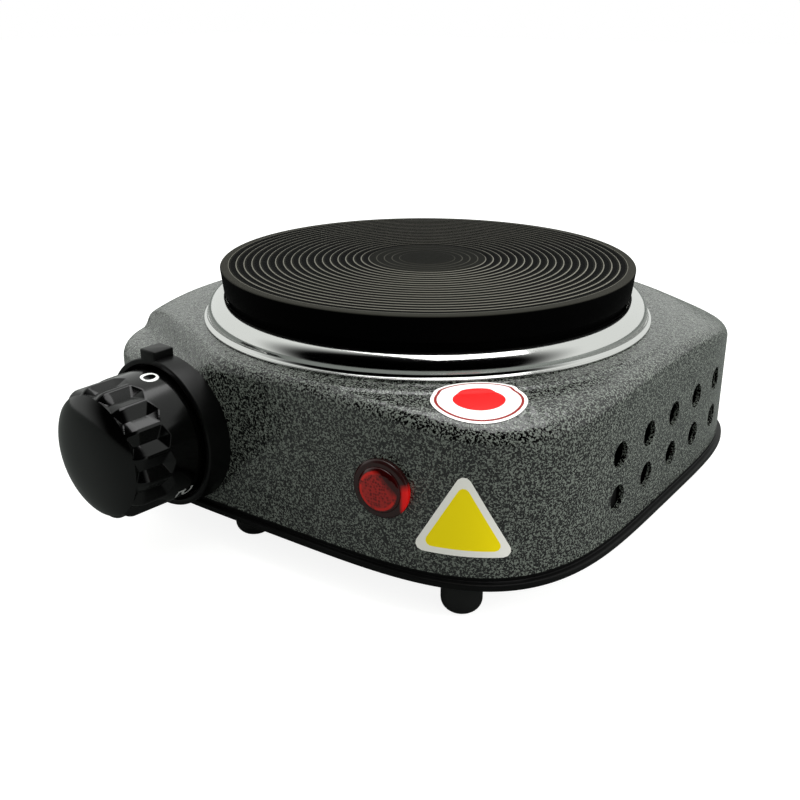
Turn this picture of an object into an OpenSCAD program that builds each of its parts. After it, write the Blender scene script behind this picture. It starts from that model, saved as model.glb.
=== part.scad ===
// Small single hot plate: a cast-iron plate on a painted steel housing, with a
// turning heat control, a pilot lamp and the wiring between them.
// Heights are above the table. Plan positions are measured from the hot plate's
// axis, and each module moves its piece to the origin under the middle of the part.

/* [Housing] */
// Width of the square cover across its walls
cover_w = 129; // [120:1:134]
// How square the plan is: 2 is a circle, large values are a square
cover_power = 4.2; // [3.6:0.1:4.6]
// Cover centre from the hot plate axis, to the right
cover_shift_x = -1.2; // [-2:0.1:2]
// Cover centre from the hot plate axis, to the back
cover_shift_y = 5.2; // [3:0.1:6]
// Sheet thickness of the cover
cover_wall = 1; // [0.8:0.1:1.2]
// Height of the flat seat under the trim ring
seat_z = 44.6; // [43:0.1:48]
// Radius of the raised seat
seat_r = 59; // [58:0.1:60]
// Step from the seat down to the crowned top
seat_step = 0.4; // [0.2:0.1:0.6]
// Fall of the top per millimetre, outside the seat
crown_slope = 0.114; // [0.05:0.01:0.15]
// Width of the gently sloping top round the seat
crown_w = 7; // [5:0.5:9]
// Fall of the top per millimetre towards the corners
corner_slope = 0.46; // [0.2:0.02:0.5]
// Radius of the opening under the hot plate
opening_r = 44.5; // [43:0.1:45]

/* [Nose] */
// Height of the low front-left corner
nose_z = 38.7; // [37:0.1:42]
// Distance of the step's middle from the hot plate axis
nose_line = 60; // [59.5:0.1:62]
// Plan width of the step
nose_step_w = 5; // [4:0.1:6]
// Turn of the step from the front towards the left
nose_turn = 28.5; // [20:0.5:34]

/* [Vents] */
// Diameter of one vent hole
vent_d = 5.8; // [4.8:0.1:6.6]
// Holes in one row
vent_count = 5; // [3:1:5]
// Distance between holes in a row
vent_pitch = 14; // [12:0.1:15]
// Height of the lower row
vent_z = 19; // [17:0.1:21]
// Distance between the two rows
vent_row_gap = 9.7; // [8:0.1:11]
// Middle of the rows, behind the hot plate axis
vent_mid_y = 6.4; // [4:0.1:9]

/* [Base] */
// Height of the underside of the base plate
base_z = 7.8; // [7:0.1:10]
// Thickness of the base plate
base_t = 1.5; // [1.2:0.1:2]
// How far its lip stands out of the cover
lip_out = 1.2; // [0.8:0.1:1.6]
// Height of the band between the lip and the cover
band_h = 0.9; // [0.8:0.1:2]
// Diameter of a foot
foot_d = 8.6; // [8:0.1:10]
// Distance of the corner feet from the middle of the side walls
foot_side_in = 20; // [19:0.1:22]
// Distance of the front and back feet from the middle of their walls
foot_front_in = 8.8; // [8.6:0.1:10]
// Place of the middle front foot, from the front wall's middle
foot_mid_x = -12.5; // [-16:0.1:-10]
// Diameter of a foot's neck in the base plate
foot_neck_d = 4.8; // [4.5:0.1:5.5]
// Diameter of the head that holds a foot inside
foot_head_d = 6.8; // [6.4:0.1:8]
// Height of that head
foot_head_h = 1.6; // [1.2:0.1:2]
// Width of a corner bracket
bracket_w = 10; // [9:0.5:12]
// Height of a corner bracket
bracket_h = 14; // [12:0.5:16]
// Depth of a corner bracket
bracket_d = 13; // [12:0.5:14]
// Sheet thickness of the brackets
bracket_t = 1.2; // [1:0.1:1.5]
// Distance of the brackets from the middle of a side wall
bracket_at = 30; // [28:0.5:32]
// Diameter of the base screws
screw_d = 3; // [2.8:0.1:3.2]
// Diameter of the base screw heads
screw_head_d = 5.4; // [5:0.1:6]
// Height of the base screw heads
screw_head_h = 1.6; // [1.2:0.1:2]

/* [Hot plate] */
// Radius of the cooking surface
plate_r = 50; // [49:0.1:50.5]
// Height of the cooking surface
plate_top_z = 57; // [56:0.1:60]
// Thickness of the plate
plate_t = 5; // [4.5:0.1:5.5]
// Height of the band round the plate's edge
plate_band_h = 6; // [5.6:0.1:6.4]
// Taper of that band
plate_band_taper = 0.6; // [0.2:0.1:0.8]
// Radius of the skirt under the plate
skirt_r = 48.4; // [48:0.1:48.6]
// Wall of the skirt
skirt_wall = 2; // [1.8:0.1:2.2]
// Radius of the middle boss under the plate
boss_r = 6; // [5.5:0.1:6.5]
// Thickness of the disc that closes the plate from below
backing_t = 0.8; // [0.6:0.1:1]
// Height left between the skirt's foot and that disc
backing_inset = 0.5; // [0.3:0.1:0.6]
// Radius of the smallest turn of the heating coil
coil_first_r = 18; // [17:0.5:19]
// Distance between turns of the heating coil
coil_pitch = 9; // [8:0.5:9.5]
// Turns of the heating coil
coil_turns = 3; // [3:1:3]
// Radius of the coil's wire winding
coil_wire_r = 1.4; // [1.2:0.1:1.6]
// Open angle between the coil's ends
coil_gap_angle = 36; // [30:1:40]

/* [Trim ring] */
// Outer radius of the trim ring's flange
ring_r = 54.4; // [54.2:0.1:55]
// Radius where the flange turns up
ring_crease_r = 53.5; // [53:0.1:53.8]
// Outer radius of the ring's upper lip
ring_lip_r = 49.6; // [49.4:0.1:49.8]
// Height of that lip over the seat
ring_h = 5.2; // [4.4:0.1:5.6]
// Sheet thickness of the ring
ring_t = 0.5; // [0.4:0.05:0.6]
// Inner radius of the ledge that carries the plate
ledge_r = 45.2; // [45:0.1:45.6]

/* [Middle clamp] */
// Diameter of the middle stud
stud_d = 6; // [5:0.1:6.4]
// Outer diameter of the sleeve round the stud
sleeve_d = 10; // [9:0.1:11]
// Radius of the heat shield
shield_r = 42; // [40:0.5:43]
// Sheet thickness of the heat shield
shield_t = 0.6; // [0.5:0.1:0.8]
// Height of the underside of the bridge
bridge_z = 36.5; // [35.5:0.1:38]
// Width of the bridge
bridge_w = 14; // [12:0.5:16]
// Sheet thickness of the bridge
bridge_t = 1.5; // [1.2:0.1:1.8]
// Reach of each bridge tab from the axis
bridge_reach = 54; // [52:0.5:54]
// Thickness of the stud's washer
washer_t = 1.2; // [1:0.1:1.5]
// Outer diameter of the stud's washer
washer_d = 14; // [12:0.5:14]
// Width of the stud's nut across its flats
nut_af = 10; // [9.5:0.1:11]
// Height of the stud's nut
nut_h = 4.5; // [4:0.1:5]

/* [Heat control] */
// Place of the control on the front wall, from the wall's middle
knob_x = -27; // [-28:0.1:-25]
// Height of the control's axis
knob_z = 25.7; // [24:0.1:27]
// Radius of the knob's skirt
knob_r = 15.1; // [14.5:0.1:15.3]
// Radius of the knob where the dome starts
knob_dome_r = 13.2; // [12:0.1:13.4]
// Distance of the knob's tip from the wall
knob_len = 24.6; // [23:0.1:25]
// Distance of the dome's edge from the wall
knob_dome_s = 22; // [21:0.1:22.5]
// Distance of the skirt's back edge from the wall
knob_back_s = 2.1; // [2:0.1:2.4]
// Wall of the knob
knob_wall = 1.7; // [1.4:0.1:2]
// Finger flutes round the knob
flute_count = 16; // [12:1:18]
// Distance of the flutes' ends from the wall
flute_s = 13.8; // [12:0.1:15]
// Depth of a flute
flute_depth = 0.7; // [0.4:0.05:0.9]
// Radius of the cutter that makes a flute
flute_cut_r = 4.2; // [3:0.1:5]
// Diameter of the knob's hub
hub_d = 10; // [9:0.1:11]
// Outer radius of the collar round the knob
bezel_r = 17.2; // [17:0.1:17.4]
// Wall of the collar
bezel_wall = 1.4; // [1.2:0.05:1.5]
// Depth of the collar, from the wall outwards
bezel_depth = 5.2; // [4.5:0.1:5.6]
// Web of the collar that the control's nut clamps
bezel_web = 1.6; // [1.3:0.1:1.7]
// Width of the mark tab on the collar
tab_w = 5; // [4:0.1:6]
// Height of the mark tab over the collar
tab_h = 1.8; // [1.4:0.1:2]
// Diameter of the control's shaft
shaft_d = 6; // [5.8:0.1:6.2]
// Distance of the shaft's tip from the wall
shaft_len = 16; // [15:0.1:17]
// Distance of the shaft's flat from its axis
shaft_flat = 1.7; // [1.5:0.1:2]
// Diameter of the threaded bush
bush_d = 8; // [7.8:0.1:8.4]
// Width of the bush's nut across its flats
bush_nut_af = 12; // [11:0.1:13]
// Height of the bush's nut
bush_nut_h = 2.5; // [2:0.1:2.8]
// Distance from the wall's face in to the control's frame
frame_s = 1.9; // [1.9:0.1:2.3]
// Sheet thickness of the control's frame
frame_t = 1; // [0.8:0.1:1.2]
// Half the width of the control's frame
frame_half_w = 9; // [8:0.5:9]
// Diameter of the adjuster pin
pin_d = 2.4; // [2.2:0.1:2.6]
// Depth of the blades' clamp under the control's axis
stack_y = 10.8; // [10.8:0.1:11.4]
// Height of the arm's knife edge under the control's axis
arm_hinge_y = 7; // [6.8:0.1:7.2]
// Height of the contacts over the control's axis
contact_y = 8; // [7.5:0.1:8.5]
// Thickness of the moving arm
arm_t = 0.4; // [0.3:0.05:0.5]
// Thickness of the fixed blades
blade_t = 0.6; // [0.5:0.05:0.7]
// Thickness of the bimetal strip
bimetal_t = 0.8; // [0.7:0.05:0.9]
// Width of the blades
blade_w = 7; // [6:0.1:7.5]
// Thickness of the first insulator
insulator_a = 2; // [1.9:0.1:2.2]
// Thickness of the second insulator, which sets the contacts' gap
insulator_b = 2.3; // [2.2:0.05:2.4]
// Thickness of the third insulator
insulator_c = 1.2; // [1:0.1:1.4]
// Diameter of the insulators
insulator_d = 5; // [4.6:0.1:5]
// Diameter of the rivet through the blades
rivet_d = 2.4; // [2:0.1:2.6]
// Diameter of the contact buttons
contact_d = 3.2; // [2.8:0.1:3.6]
// Height of the contact buttons
contact_h = 0.6; // [0.5:0.05:0.65]

/* [Pilot lamp] */
// Place of the lamp on the front wall, from the wall's middle
lamp_x = 31; // [28:0.1:33]
// Height of the lamp's axis
lamp_z = 26.8; // [25:0.1:28]
// Diameter of the lamp's flange
lamp_flange_d = 12.5; // [12:0.1:13]
// Diameter of the lamp's dome
lamp_dome_d = 10.4; // [9.8:0.1:10.6]
// Height of the dome over the wall
lamp_dome_h = 2.7; // [2.5:0.1:3]
// Thickness of the lamp's flange
lamp_flange_t = 1.6; // [1.4:0.1:1.8]
// Diameter of the lamp's barrel
lamp_barrel_d = 9.8; // [9:0.1:9.8]
// Length of the barrel behind the wall's face
lamp_barrel_len = 11; // [10:0.1:12]
// Wall of the barrel
lamp_wall = 1.5; // [1.3:0.05:1.6]
// Diameter of the neon bulb
bulb_d = 6; // [5.6:0.1:6.2]
// Diameter of the resistor
resistor_d = 2.8; // [2.4:0.1:3]
// Length of the resistor
resistor_len = 7; // [6:0.1:8]

/* [Wiring] */
// Radius of the wires
wire_r = 1; // [0.8:0.05:1.1]
// Outer diameter of the cord gland's barrel
gland_d = 10; // [9.6:0.1:10.4]
// Bore of the cord gland
gland_bore_d = 7; // [6.6:0.1:7.2]
// Height of the cord gland's axis
gland_z = 23; // [22:0.1:25]
// Reach of the gland outside the back wall
gland_out = 5; // [4:0.1:6]
// Reach of the gland inside the back wall
gland_in = 9; // [8:0.1:9]
// Width of the terminal block
block_w = 30; // [29:0.5:32]
// Depth of the terminal block
block_d = 15; // [14:0.5:16]
// Height of the terminal block
block_h = 13; // [12:0.5:14]
// Distance between the block's ways
block_pitch = 9.5; // [9:0.1:10]
// Middle of the block, behind the hot plate axis
block_y = 42; // [41:0.5:43]
// Outer diameter of the block's brass inserts
insert_d = 5.2; // [5:0.1:5.4]
// Bore of the block's brass inserts
insert_bore_d = 3.2; // [3:0.1:3.4]

/* [Labels] */
// Thickness of the labels
label_t = 0.2; // [0.15:0.05:0.3]
// Long axis of the oval label on the top
oval_w = 19; // [18:0.1:21]
// Short axis of the oval label
oval_d = 14.6; // [14:0.1:16]
// Distance between the oval label and the trim ring
oval_gap = 0.6; // [0.3:0.1:1]
// Direction of the oval label from the right towards the front
oval_angle = 46.5; // [40:0.5:50]
// Side of the three-cornered label
tri_side = 21.3; // [18:0.1:22]
// Place of the three-cornered label on the front wall
tri_x = 47; // [45:0.1:47.5]
// Height of its middle
tri_z = 21; // [20:0.1:23]

/* [Fits] */
// Running clearance of a shaft in its bore, on the radius
run_fit = 0.05; // [0.03:0.01:0.08]
// Clearance of a piece that is fixed in a hole, on the radius
fix_fit = 0.1; // [0.05:0.01:0.15]
// Gap between a piece and a bowed wall that it sits on
seat_gap = 0.05; // [0.02:0.01:0.1]
// Gap between pieces that pass each other
pass_gap = 0.3; // [0.2:0.05:0.4]

/* [Hidden] */

$fn = 64;
eps = 0.01;
half = cover_w / 2;
floor_z = base_z + base_t;
cover_z = floor_z + band_h;
outline_steps = 96;

// Place of a front-wall point at t from the wall's middle, and the wall's turn there
function wall_at(t) = half * pow(1 - pow(abs(t) / half, cover_power), 1 / cover_power);
function wall_slope(t) = pow(abs(t) / wall_at(t), cover_power - 1);
function wall_turn(t) = sign(t) * atan(wall_slope(t));

// Plan outline of the cover for a given half width
function signed_pow(v, p) = sign(v) * pow(abs(v), p);
function outline(h) = [
  for (i = [0 : outline_steps - 1]) let (a = 360 * i / outline_steps)
    [h * signed_pow(cos(a), 2 / cover_power), h * signed_pow(sin(a), 2 / cover_power)]
];

// Points of an elliptic arc in a plane
function arc(cx, cy, rx, ry, a0, a1, steps) = [
  for (i = [0 : steps]) let (a = a0 + (a1 - a0) * i / steps)
    [cx + rx * cos(a), cy + ry * sin(a)]
];

// The knob's reach past the front wall, and the gland's past the back wall,
// put the origin in the middle of the part's box
knob_lean = wall_turn(knob_x);
front_y = cover_shift_y - wall_at(knob_x) - knob_len * cos(knob_lean);
back_y = cover_shift_y + half + gland_out;
plate_x = -cover_shift_x;
plate_y = -(front_y + back_y) / 2;

module from_axis() {
  translate([plate_x, plate_y, 0]) children();
}

// A frame on the cover's wall: X along the wall, Y up and Z out of it.
// The side is 0 for the front, 90 for the right, 180 for the back, 270 for the left.
module on_wall(side, t, z) {
  translate([cover_shift_x, cover_shift_y, z]) rotate([0, 0, side])
    translate([t, -wall_at(t), 0]) rotate([0, 0, wall_turn(t)])
      rotate([90, 0, 0]) children();
}

module plan(h, z0, z1) {
  translate([cover_shift_x, cover_shift_y, z0]) linear_extrude(z1 - z0)
    polygon(outline(h));
}

module tube(r_out, r_in, z0, z1) {
  difference() {
    translate([0, 0, z0]) cylinder(r = r_out, h = z1 - z0);
    translate([0, 0, z0 - 1]) cylinder(r = r_in, h = z1 - z0 + 2);
  }
}

module rod(r, z0, z1) {
  translate([0, 0, z0]) cylinder(r = r, h = z1 - z0);
}

// ---- Housing ----

crown_far = 90;
crown_top_z = seat_z - seat_step;
crown_bend_r = seat_r + crown_w;
bend_z = crown_top_z - crown_slope * (crown_w - seat_step);
far_z = bend_z - corner_slope * (crown_far - crown_bend_r);

module crown_solid(lower) {
  rotate_extrude($fn = 128) polygon([
    [0, 0], [crown_far, 0], [crown_far, far_z - lower],
    [crown_bend_r, bend_z - lower], [seat_r + seat_step, crown_top_z - lower],
    [seat_r, seat_z - lower], [0, seat_z - lower]
  ]);
}

// Everything over the S-shaped step and the low corner outside it
module nose_cutter(lower) {
  step_points = 12;
  high = crown_top_z + seat_step / 2;
  near = nose_line - nose_step_w / 2;
  s_curve = [
    for (i = [0 : step_points]) let (f = i / step_points)
      [near + nose_step_w * f,
       nose_z + (high - nose_z) * (1 + cos(180 * f)) / 2]
  ];
  rotate([0, 0, -90 - nose_turn]) translate([-lower, 0, -lower])
    rotate([90, 0, 0]) translate([0, 0, -crown_far])
      linear_extrude(2 * crown_far) polygon(concat(
        [[near, high + crown_far]], s_curve,
        [[crown_far, nose_z], [crown_far, high + crown_far]]));
}

module cover_shape(inset) {
  below = inset > 0 ? 1 : 0;
  difference() {
    intersection() {
      plan(half - inset, cover_z - below, plate_top_z);
      crown_solid(inset);
    }
    nose_cutter(inset);
  }
}

module vent_rows() {
  mid = vent_mid_y - cover_shift_y;
  for (row = [0, 1], i = [0 : vent_count - 1])
    translate([cover_shift_x - half - 1,
               cover_shift_y + mid + vent_pitch * (i - (vent_count - 1) / 2),
               vent_z + vent_row_gap * row])
      rotate([0, 90, 0]) cylinder(d = vent_d, h = cover_w + 2);
}

module top_cover() {
  color("dimgray") from_axis() difference() {
    cover_shape(0);
    cover_shape(cover_wall);
    rod(opening_r, seat_z - 5, seat_z + 1);
    vent_rows();
    on_wall(0, knob_x, knob_z) rod(bush_d / 2 + fix_fit, -5, 5);
    on_wall(0, lamp_x, lamp_z) rod(lamp_barrel_d / 2 + fix_fit, -5, 5);
    on_wall(180, 0, gland_z) rod(gland_d / 2 + fix_fit, -5, 5);
  }
}

foot_x = half - foot_side_in;
foot_y = half - foot_front_in;
foot_places = [
  for (p = [[foot_x, -foot_y], [foot_mid_x, -foot_y], [-foot_x, -foot_y],
            [-foot_x, foot_y], [foot_x, foot_y]])
    [cover_shift_x + p[0], cover_shift_y + p[1]]
];
bracket_places = [[90, -1], [90, 1], [270, -1], [270, 1]];
screw_s = bracket_d * 0.6;

// The upright frame of a bracket's screw, with Z up from the floor
module at_brackets() {
  for (b = bracket_places)
    on_wall(b[0], b[1] * bracket_at, 0) translate([0, 0, -screw_s])
      rotate([-90, 0, 0]) children();
}

block_screw_x = cover_shift_x + block_pitch / 2;
earth_at = [half / 2 + 1, block_y + 4];

module base_plate() {
  color("#161616") from_axis() difference() {
    union() {
      plan(half + lip_out, base_z, floor_z);
      plan(half, floor_z, cover_z);
    }
    plan(half - cover_wall, floor_z, cover_z + 1);
    for (p = foot_places) translate(p)
      rod(foot_neck_d / 2 + fix_fit, base_z - 1, floor_z + 1);
    at_brackets() rod(screw_d / 2 + 2 * fix_fit, base_z - 1, floor_z + 1);
    translate([block_screw_x, block_y])
      rod(screw_d / 2 + 2 * fix_fit, base_z - 1, floor_z + 1);
    translate(earth_at) rod(earth_d / 2 + fix_fit, base_z - 1, floor_z + 1);
  }
}

// A round peg with a rounded toe, a neck in the plate and a head inside
module foot() {
  toe = foot_d / 3;
  rotate_extrude($fn = 48) polygon(concat(
    [[0, 0]],
    arc(foot_d / 2 - toe, toe, toe, toe, -90, 0, 8),
    [[foot_d / 2, base_z], [foot_neck_d / 2, base_z], [foot_neck_d / 2, floor_z],
     [foot_head_d / 2, floor_z], [foot_neck_d / 2, floor_z + foot_head_h],
     [0, floor_z + foot_head_h]]));
}

module feet() {
  color("#1a1a1a") from_axis() for (p = foot_places) translate(p) foot();
}

// Angle brackets on the side walls that take the base screws
module corner_brackets() {
  color("silver") from_axis() for (b = bracket_places)
    on_wall(b[0], b[1] * bracket_at, floor_z) difference() {
      translate([-bracket_w / 2, 0, -cover_wall - pass_gap - bracket_d])
        difference() {
          cube([bracket_w, bracket_h, bracket_d]);
          translate([-1, bracket_t, -1])
            cube([bracket_w + 2, bracket_h, bracket_d + 1 - bracket_t]);
        }
      translate([0, 0, -screw_s]) rotate([-90, 0, 0])
        rod(screw_d / 2 + fix_fit / 2, -1, bracket_t + 1);
    }
}

// A pan-head screw that points up, with its head under the base plate
module screw_up(top_z) {
  rod(screw_d / 2, base_z - screw_head_h / 2, top_z);
  rod(screw_head_d / 2, base_z - screw_head_h, base_z);
}

module base_screws() {
  color("silver") from_axis() at_brackets() screw_up(floor_z + bracket_t + 3);
}

// ---- Hot plate and its clamp ----

plate_under_z = plate_top_z - plate_t;
ledge_z = seat_z + ring_t;
backing_z = ledge_z + backing_inset;
boss_z = backing_z + backing_t;
cement_top_z = plate_under_z - 0.2;
coil_z = cement_top_z - coil_wire_r - 0.4;
stud_r = stud_d / 2;
bridge_top_z = bridge_z + bridge_t;
shield_top_z = bridge_top_z + shield_t;
stud_bottom_z = bridge_z - washer_t - nut_h - 1;

module hot_plate() {
  skirt_in = skirt_r - skirt_wall;
  stud_hole = stud_r + run_fit;
  hole_top = plate_top_z - 2;
  color("#2b2b2b") from_axis() rotate_extrude($fn = 128) polygon([
    [0, plate_top_z], [plate_r, plate_top_z],
    [plate_r - plate_band_taper, plate_top_z - plate_band_h],
    [skirt_r, plate_top_z - plate_band_h], [skirt_r, ledge_z], [skirt_in, ledge_z],
    [skirt_in, plate_under_z], [boss_r, plate_under_z], [boss_r, boss_z],
    [stud_hole, boss_z], [stud_hole, hole_top], [0, hole_top]
  ]);
}

// Open turns of the coil, joined end to end in turn; grow makes the tunnel
coil_start = coil_gap_angle / 2;
module coil_shape(grow) {
  r = coil_wire_r + grow;
  link_r = r - 0.4;
  link_in = 4;
  for (i = [0 : coil_turns - 1])
    translate([0, 0, coil_z]) rotate([0, 0, coil_start])
      rotate_extrude(angle = 360 - coil_gap_angle, $fn = 96)
        translate([coil_first_r + coil_pitch * i, 0]) circle(r = r, $fn = 24);
  for (i = [0 : coil_turns - 2])
    rotate([0, 0, i % 2 == 0 ? -coil_start - link_in : coil_start + link_in])
      translate([coil_first_r + coil_pitch * i, 0, coil_z])
        rotate([0, 90, 0]) cylinder(r = link_r, h = coil_pitch, $fn = 24);
}

module heating_coil() {
  color("#8a6a4a") from_axis() coil_shape(0);
}

terminal_r = 1.2;
bush_r = 2.6;
last_turn_r = coil_first_r + coil_pitch * (coil_turns - 1);
terminal_tip_z = coil_z - coil_wire_r - 0.2;
// The inner turn ends on one side of the gap and the outer turn on the other
terminal_in = 6;
module at_terminals() {
  rotate([0, 0, coil_start + terminal_in]) translate([coil_first_r, 0]) children();
  rotate([0, 0, -coil_start - terminal_in]) translate([last_turn_r, 0]) children();
}
bush_top_z = boss_z + 1.4;

module insulating_cement() {
  color("#c9c2b0") from_axis() difference() {
    tube(skirt_r - skirt_wall - pass_gap, boss_r + pass_gap, boss_z, cement_top_z);
    coil_shape(0.2);
    at_terminals() {
      rod(bush_r + fix_fit, boss_z - 1, bush_top_z + fix_fit);
      rod(terminal_r + fix_fit, boss_z, coil_z);
    }
  }
}

module backing_disc() {
  color("silver") from_axis() difference() {
    tube(skirt_r - skirt_wall - pass_gap, stud_r + fix_fit, backing_z, boss_z);
    at_terminals() rod(bush_r + fix_fit, backing_z - 1, boss_z + 1);
  }
}

// Rolled ring: flat flange, quarter-round shell, upper lip, inner wall and ledge
module trim_ring() {
  lip_z = seat_z + ring_h;
  fillet = ring_r - ring_crease_r;
  knee_z = ledge_z + fillet;
  shell_w = ring_crease_r - ring_lip_r;
  shell_h = lip_z - knee_z;
  wall_r = ring_lip_r - ring_t;
  color("#d8d8d8") from_axis() rotate_extrude($fn = 128) polygon(concat(
    [[ring_r, seat_z]],
    arc(ring_r, knee_z, fillet, fillet, -90, -180, 5),
    arc(ring_lip_r, knee_z, shell_w, shell_h, 10, 90, 8),
    [[wall_r, lip_z], [wall_r, ledge_z], [ledge_r, ledge_z], [ledge_r, seat_z],
     [ring_lip_r, seat_z]],
    arc(ring_lip_r, knee_z, shell_w - ring_t, shell_h - ring_t, 90, 10, 8),
    [[ring_crease_r - ring_t, seat_z]]));
}

module center_stud() {
  color("silver") from_axis() rod(stud_r, stud_bottom_z, plate_top_z - 2.5);
}

module spacer_sleeve() {
  color("silver") from_axis()
    tube(sleeve_d / 2, stud_r + fix_fit, shield_top_z, backing_z);
}

module heat_shield() {
  color("gainsboro") from_axis() difference() {
    tube(shield_r, stud_r + fix_fit, bridge_top_z, shield_top_z);
    at_terminals() rod(bush_r + fix_fit, bridge_top_z - 1, shield_top_z + 1);
  }
}

// Hat-shaped strap: its tabs press up against the cover beside the opening
module mounting_bridge() {
  leg_y = opening_r + pass_gap;
  tab_z = seat_z - cover_wall;
  color("lightgray") from_axis() difference() {
    translate([-bridge_w / 2, 0, 0]) rotate([90, 0, 90]) linear_extrude(bridge_w)
      polygon([
        [-leg_y - bridge_t, bridge_z], [leg_y + bridge_t, bridge_z],
        [leg_y + bridge_t, tab_z - bridge_t], [bridge_reach, tab_z - bridge_t],
        [bridge_reach, tab_z], [leg_y, tab_z], [leg_y, bridge_top_z],
        [-leg_y, bridge_top_z], [-leg_y, tab_z], [-bridge_reach, tab_z],
        [-bridge_reach, tab_z - bridge_t], [-leg_y - bridge_t, tab_z - bridge_t]
      ]);
    rod(stud_r + fix_fit, bridge_z - 1, bridge_top_z + 1);
  }
}

module stud_washer() {
  color("silver") from_axis()
    tube(washer_d / 2, stud_r + fix_fit, bridge_z - washer_t, bridge_z);
}

module hex_nut(af, bore_r, z0, z1) {
  difference() {
    translate([0, 0, z0]) cylinder(d = af / cos(30), h = z1 - z0, $fn = 6);
    rod(bore_r, z0 - 1, z1 + 1);
  }
}

module stud_nut() {
  color("silver") from_axis()
    hex_nut(nut_af, stud_r + run_fit, bridge_z - washer_t - nut_h,
            bridge_z - washer_t);
}

bush_bottom_z = bridge_top_z - 1;
module terminal_bushes() {
  collar_h = 1.5;
  color("ivory") from_axis() at_terminals() difference() {
    union() {
      rod(bush_r, bush_bottom_z, bush_top_z);
      rod(bush_r + 1.2, backing_z - fix_fit - collar_h, backing_z - fix_fit);
    }
    rod(terminal_r + fix_fit, bush_bottom_z - 1, bush_top_z + 1);
  }
}

// A pin up to the coil and a flat tab under its bush
tab_len = 9;
tab_t = 0.8;
terminal_tab_w = 6.3;
tab_top_z = bush_bottom_z - pass_gap;
tab_bottom_z = tab_top_z - tab_len;
module plate_terminals() {
  color("#c8a050") from_axis() at_terminals() {
    rod(terminal_r, tab_top_z - 2, terminal_tip_z);
    translate([-tab_t / 2, -terminal_tab_w / 2, tab_bottom_z])
      cube([tab_t, terminal_tab_w, tab_len]);
  }
}

// ---- Heat control, on an axis that leaves the front wall at a right angle ----

module on_control() {
  from_axis() on_wall(0, knob_x, knob_z) children();
}

frame_back = -frame_s - frame_t;
shaft_r = shaft_d / 2;
shaft_bore = shaft_r + run_fit;
bush_r_out = bush_d / 2;
bush_front = bezel_web + bush_nut_h + 0.5;
arm_s = frame_back - insulator_a - blade_t / 2;
fixed_front = arm_s - blade_t / 2 - insulator_b;
bimetal_front = fixed_front - blade_t - insulator_c;
stack_end = bimetal_front - bimetal_t;
pin_tip = arm_s + arm_t / 2 + 0.1;
shaft_back = frame_back - 0.7;

module thermostat_frame() {
  color("lightgray") on_control() difference() {
    translate([-frame_half_w, -stack_y - 3, frame_back])
      cube([2 * frame_half_w, stack_y + 14, frame_t]);
    rod(bush_r_out + fix_fit / 2, frame_back - 1, -frame_s + 1);
    translate([0, -stack_y, 0]) rod(rivet_d / 2 + fix_fit / 2, frame_back - 1,
                                    -frame_s + 1);
  }
}

module thermostat_bush() {
  shoulder = 0.6;
  color("#c8a050") on_control() difference() {
    union() {
      rod(bush_r_out, frame_back, bush_front);
      rod(bush_r_out + 1.5, -frame_s, -frame_s + shoulder);
    }
    rod(shaft_bore, frame_back - 1, bush_front + 1);
  }
}

module bush_nut() {
  color("silver") on_control()
    hex_nut(bush_nut_af, bush_r_out + run_fit, bezel_web, bezel_web + bush_nut_h);
}

// Round shaft with a flat for the knob, a collar behind the bush and a bore for the pin
module shaft() {
  bore_end = 4;
  flat_from = knob_hub_s;
  color("silver") on_control() difference() {
    union() {
      rod(shaft_r, shaft_back, shaft_len);
      rod(bush_r_out, shaft_back, frame_back - 2 * run_fit);
    }
    rod(pin_d / 2 + run_fit, shaft_back - 1, bore_end);
    translate([shaft_flat, -shaft_d, flat_from])
      cube([shaft_d, 2 * shaft_d, shaft_len]);
  }
}

module adjuster_pin() {
  color("white") on_control() rod(pin_d / 2, pin_tip, 2);
}

module stack_insulators() {
  color("ivory") on_control() translate([0, -stack_y, 0]) {
    tube(insulator_d / 2, rivet_d / 2 + fix_fit, arm_s + blade_t / 2, frame_back);
    tube(insulator_d / 2, rivet_d / 2 + fix_fit, fixed_front, arm_s - blade_t / 2);
    tube(insulator_d / 2, rivet_d / 2 + fix_fit, bimetal_front,
         fixed_front - blade_t);
  }
}

module stack_rivet() {
  head_r = rivet_d / 2 + 1;
  head_h = 0.6;
  color("silver") on_control() translate([0, -stack_y, 0]) {
    rod(rivet_d / 2, stack_end - head_h, -frame_s + head_h);
    rod(head_r, -frame_s, -frame_s + head_h);
    rod(head_r, stack_end - head_h, stack_end);
  }
}

// A blade clamped at the stack, from y0 up to y1, with its front face at s
module blade(s, t, y0, y1) {
  difference() {
    translate([-blade_w / 2, y0, s - t]) cube([blade_w, y1 - y0, t]);
    translate([0, -stack_y, 0]) rod(rivet_d / 2 + fix_fit, s - t - 1, s + 1);
  }
}

tail_len = 10;
knife_r = 0.5;
root_r = knife_r + run_fit + 0.55;
root_top = -arm_hinge_y - root_r;
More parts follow.
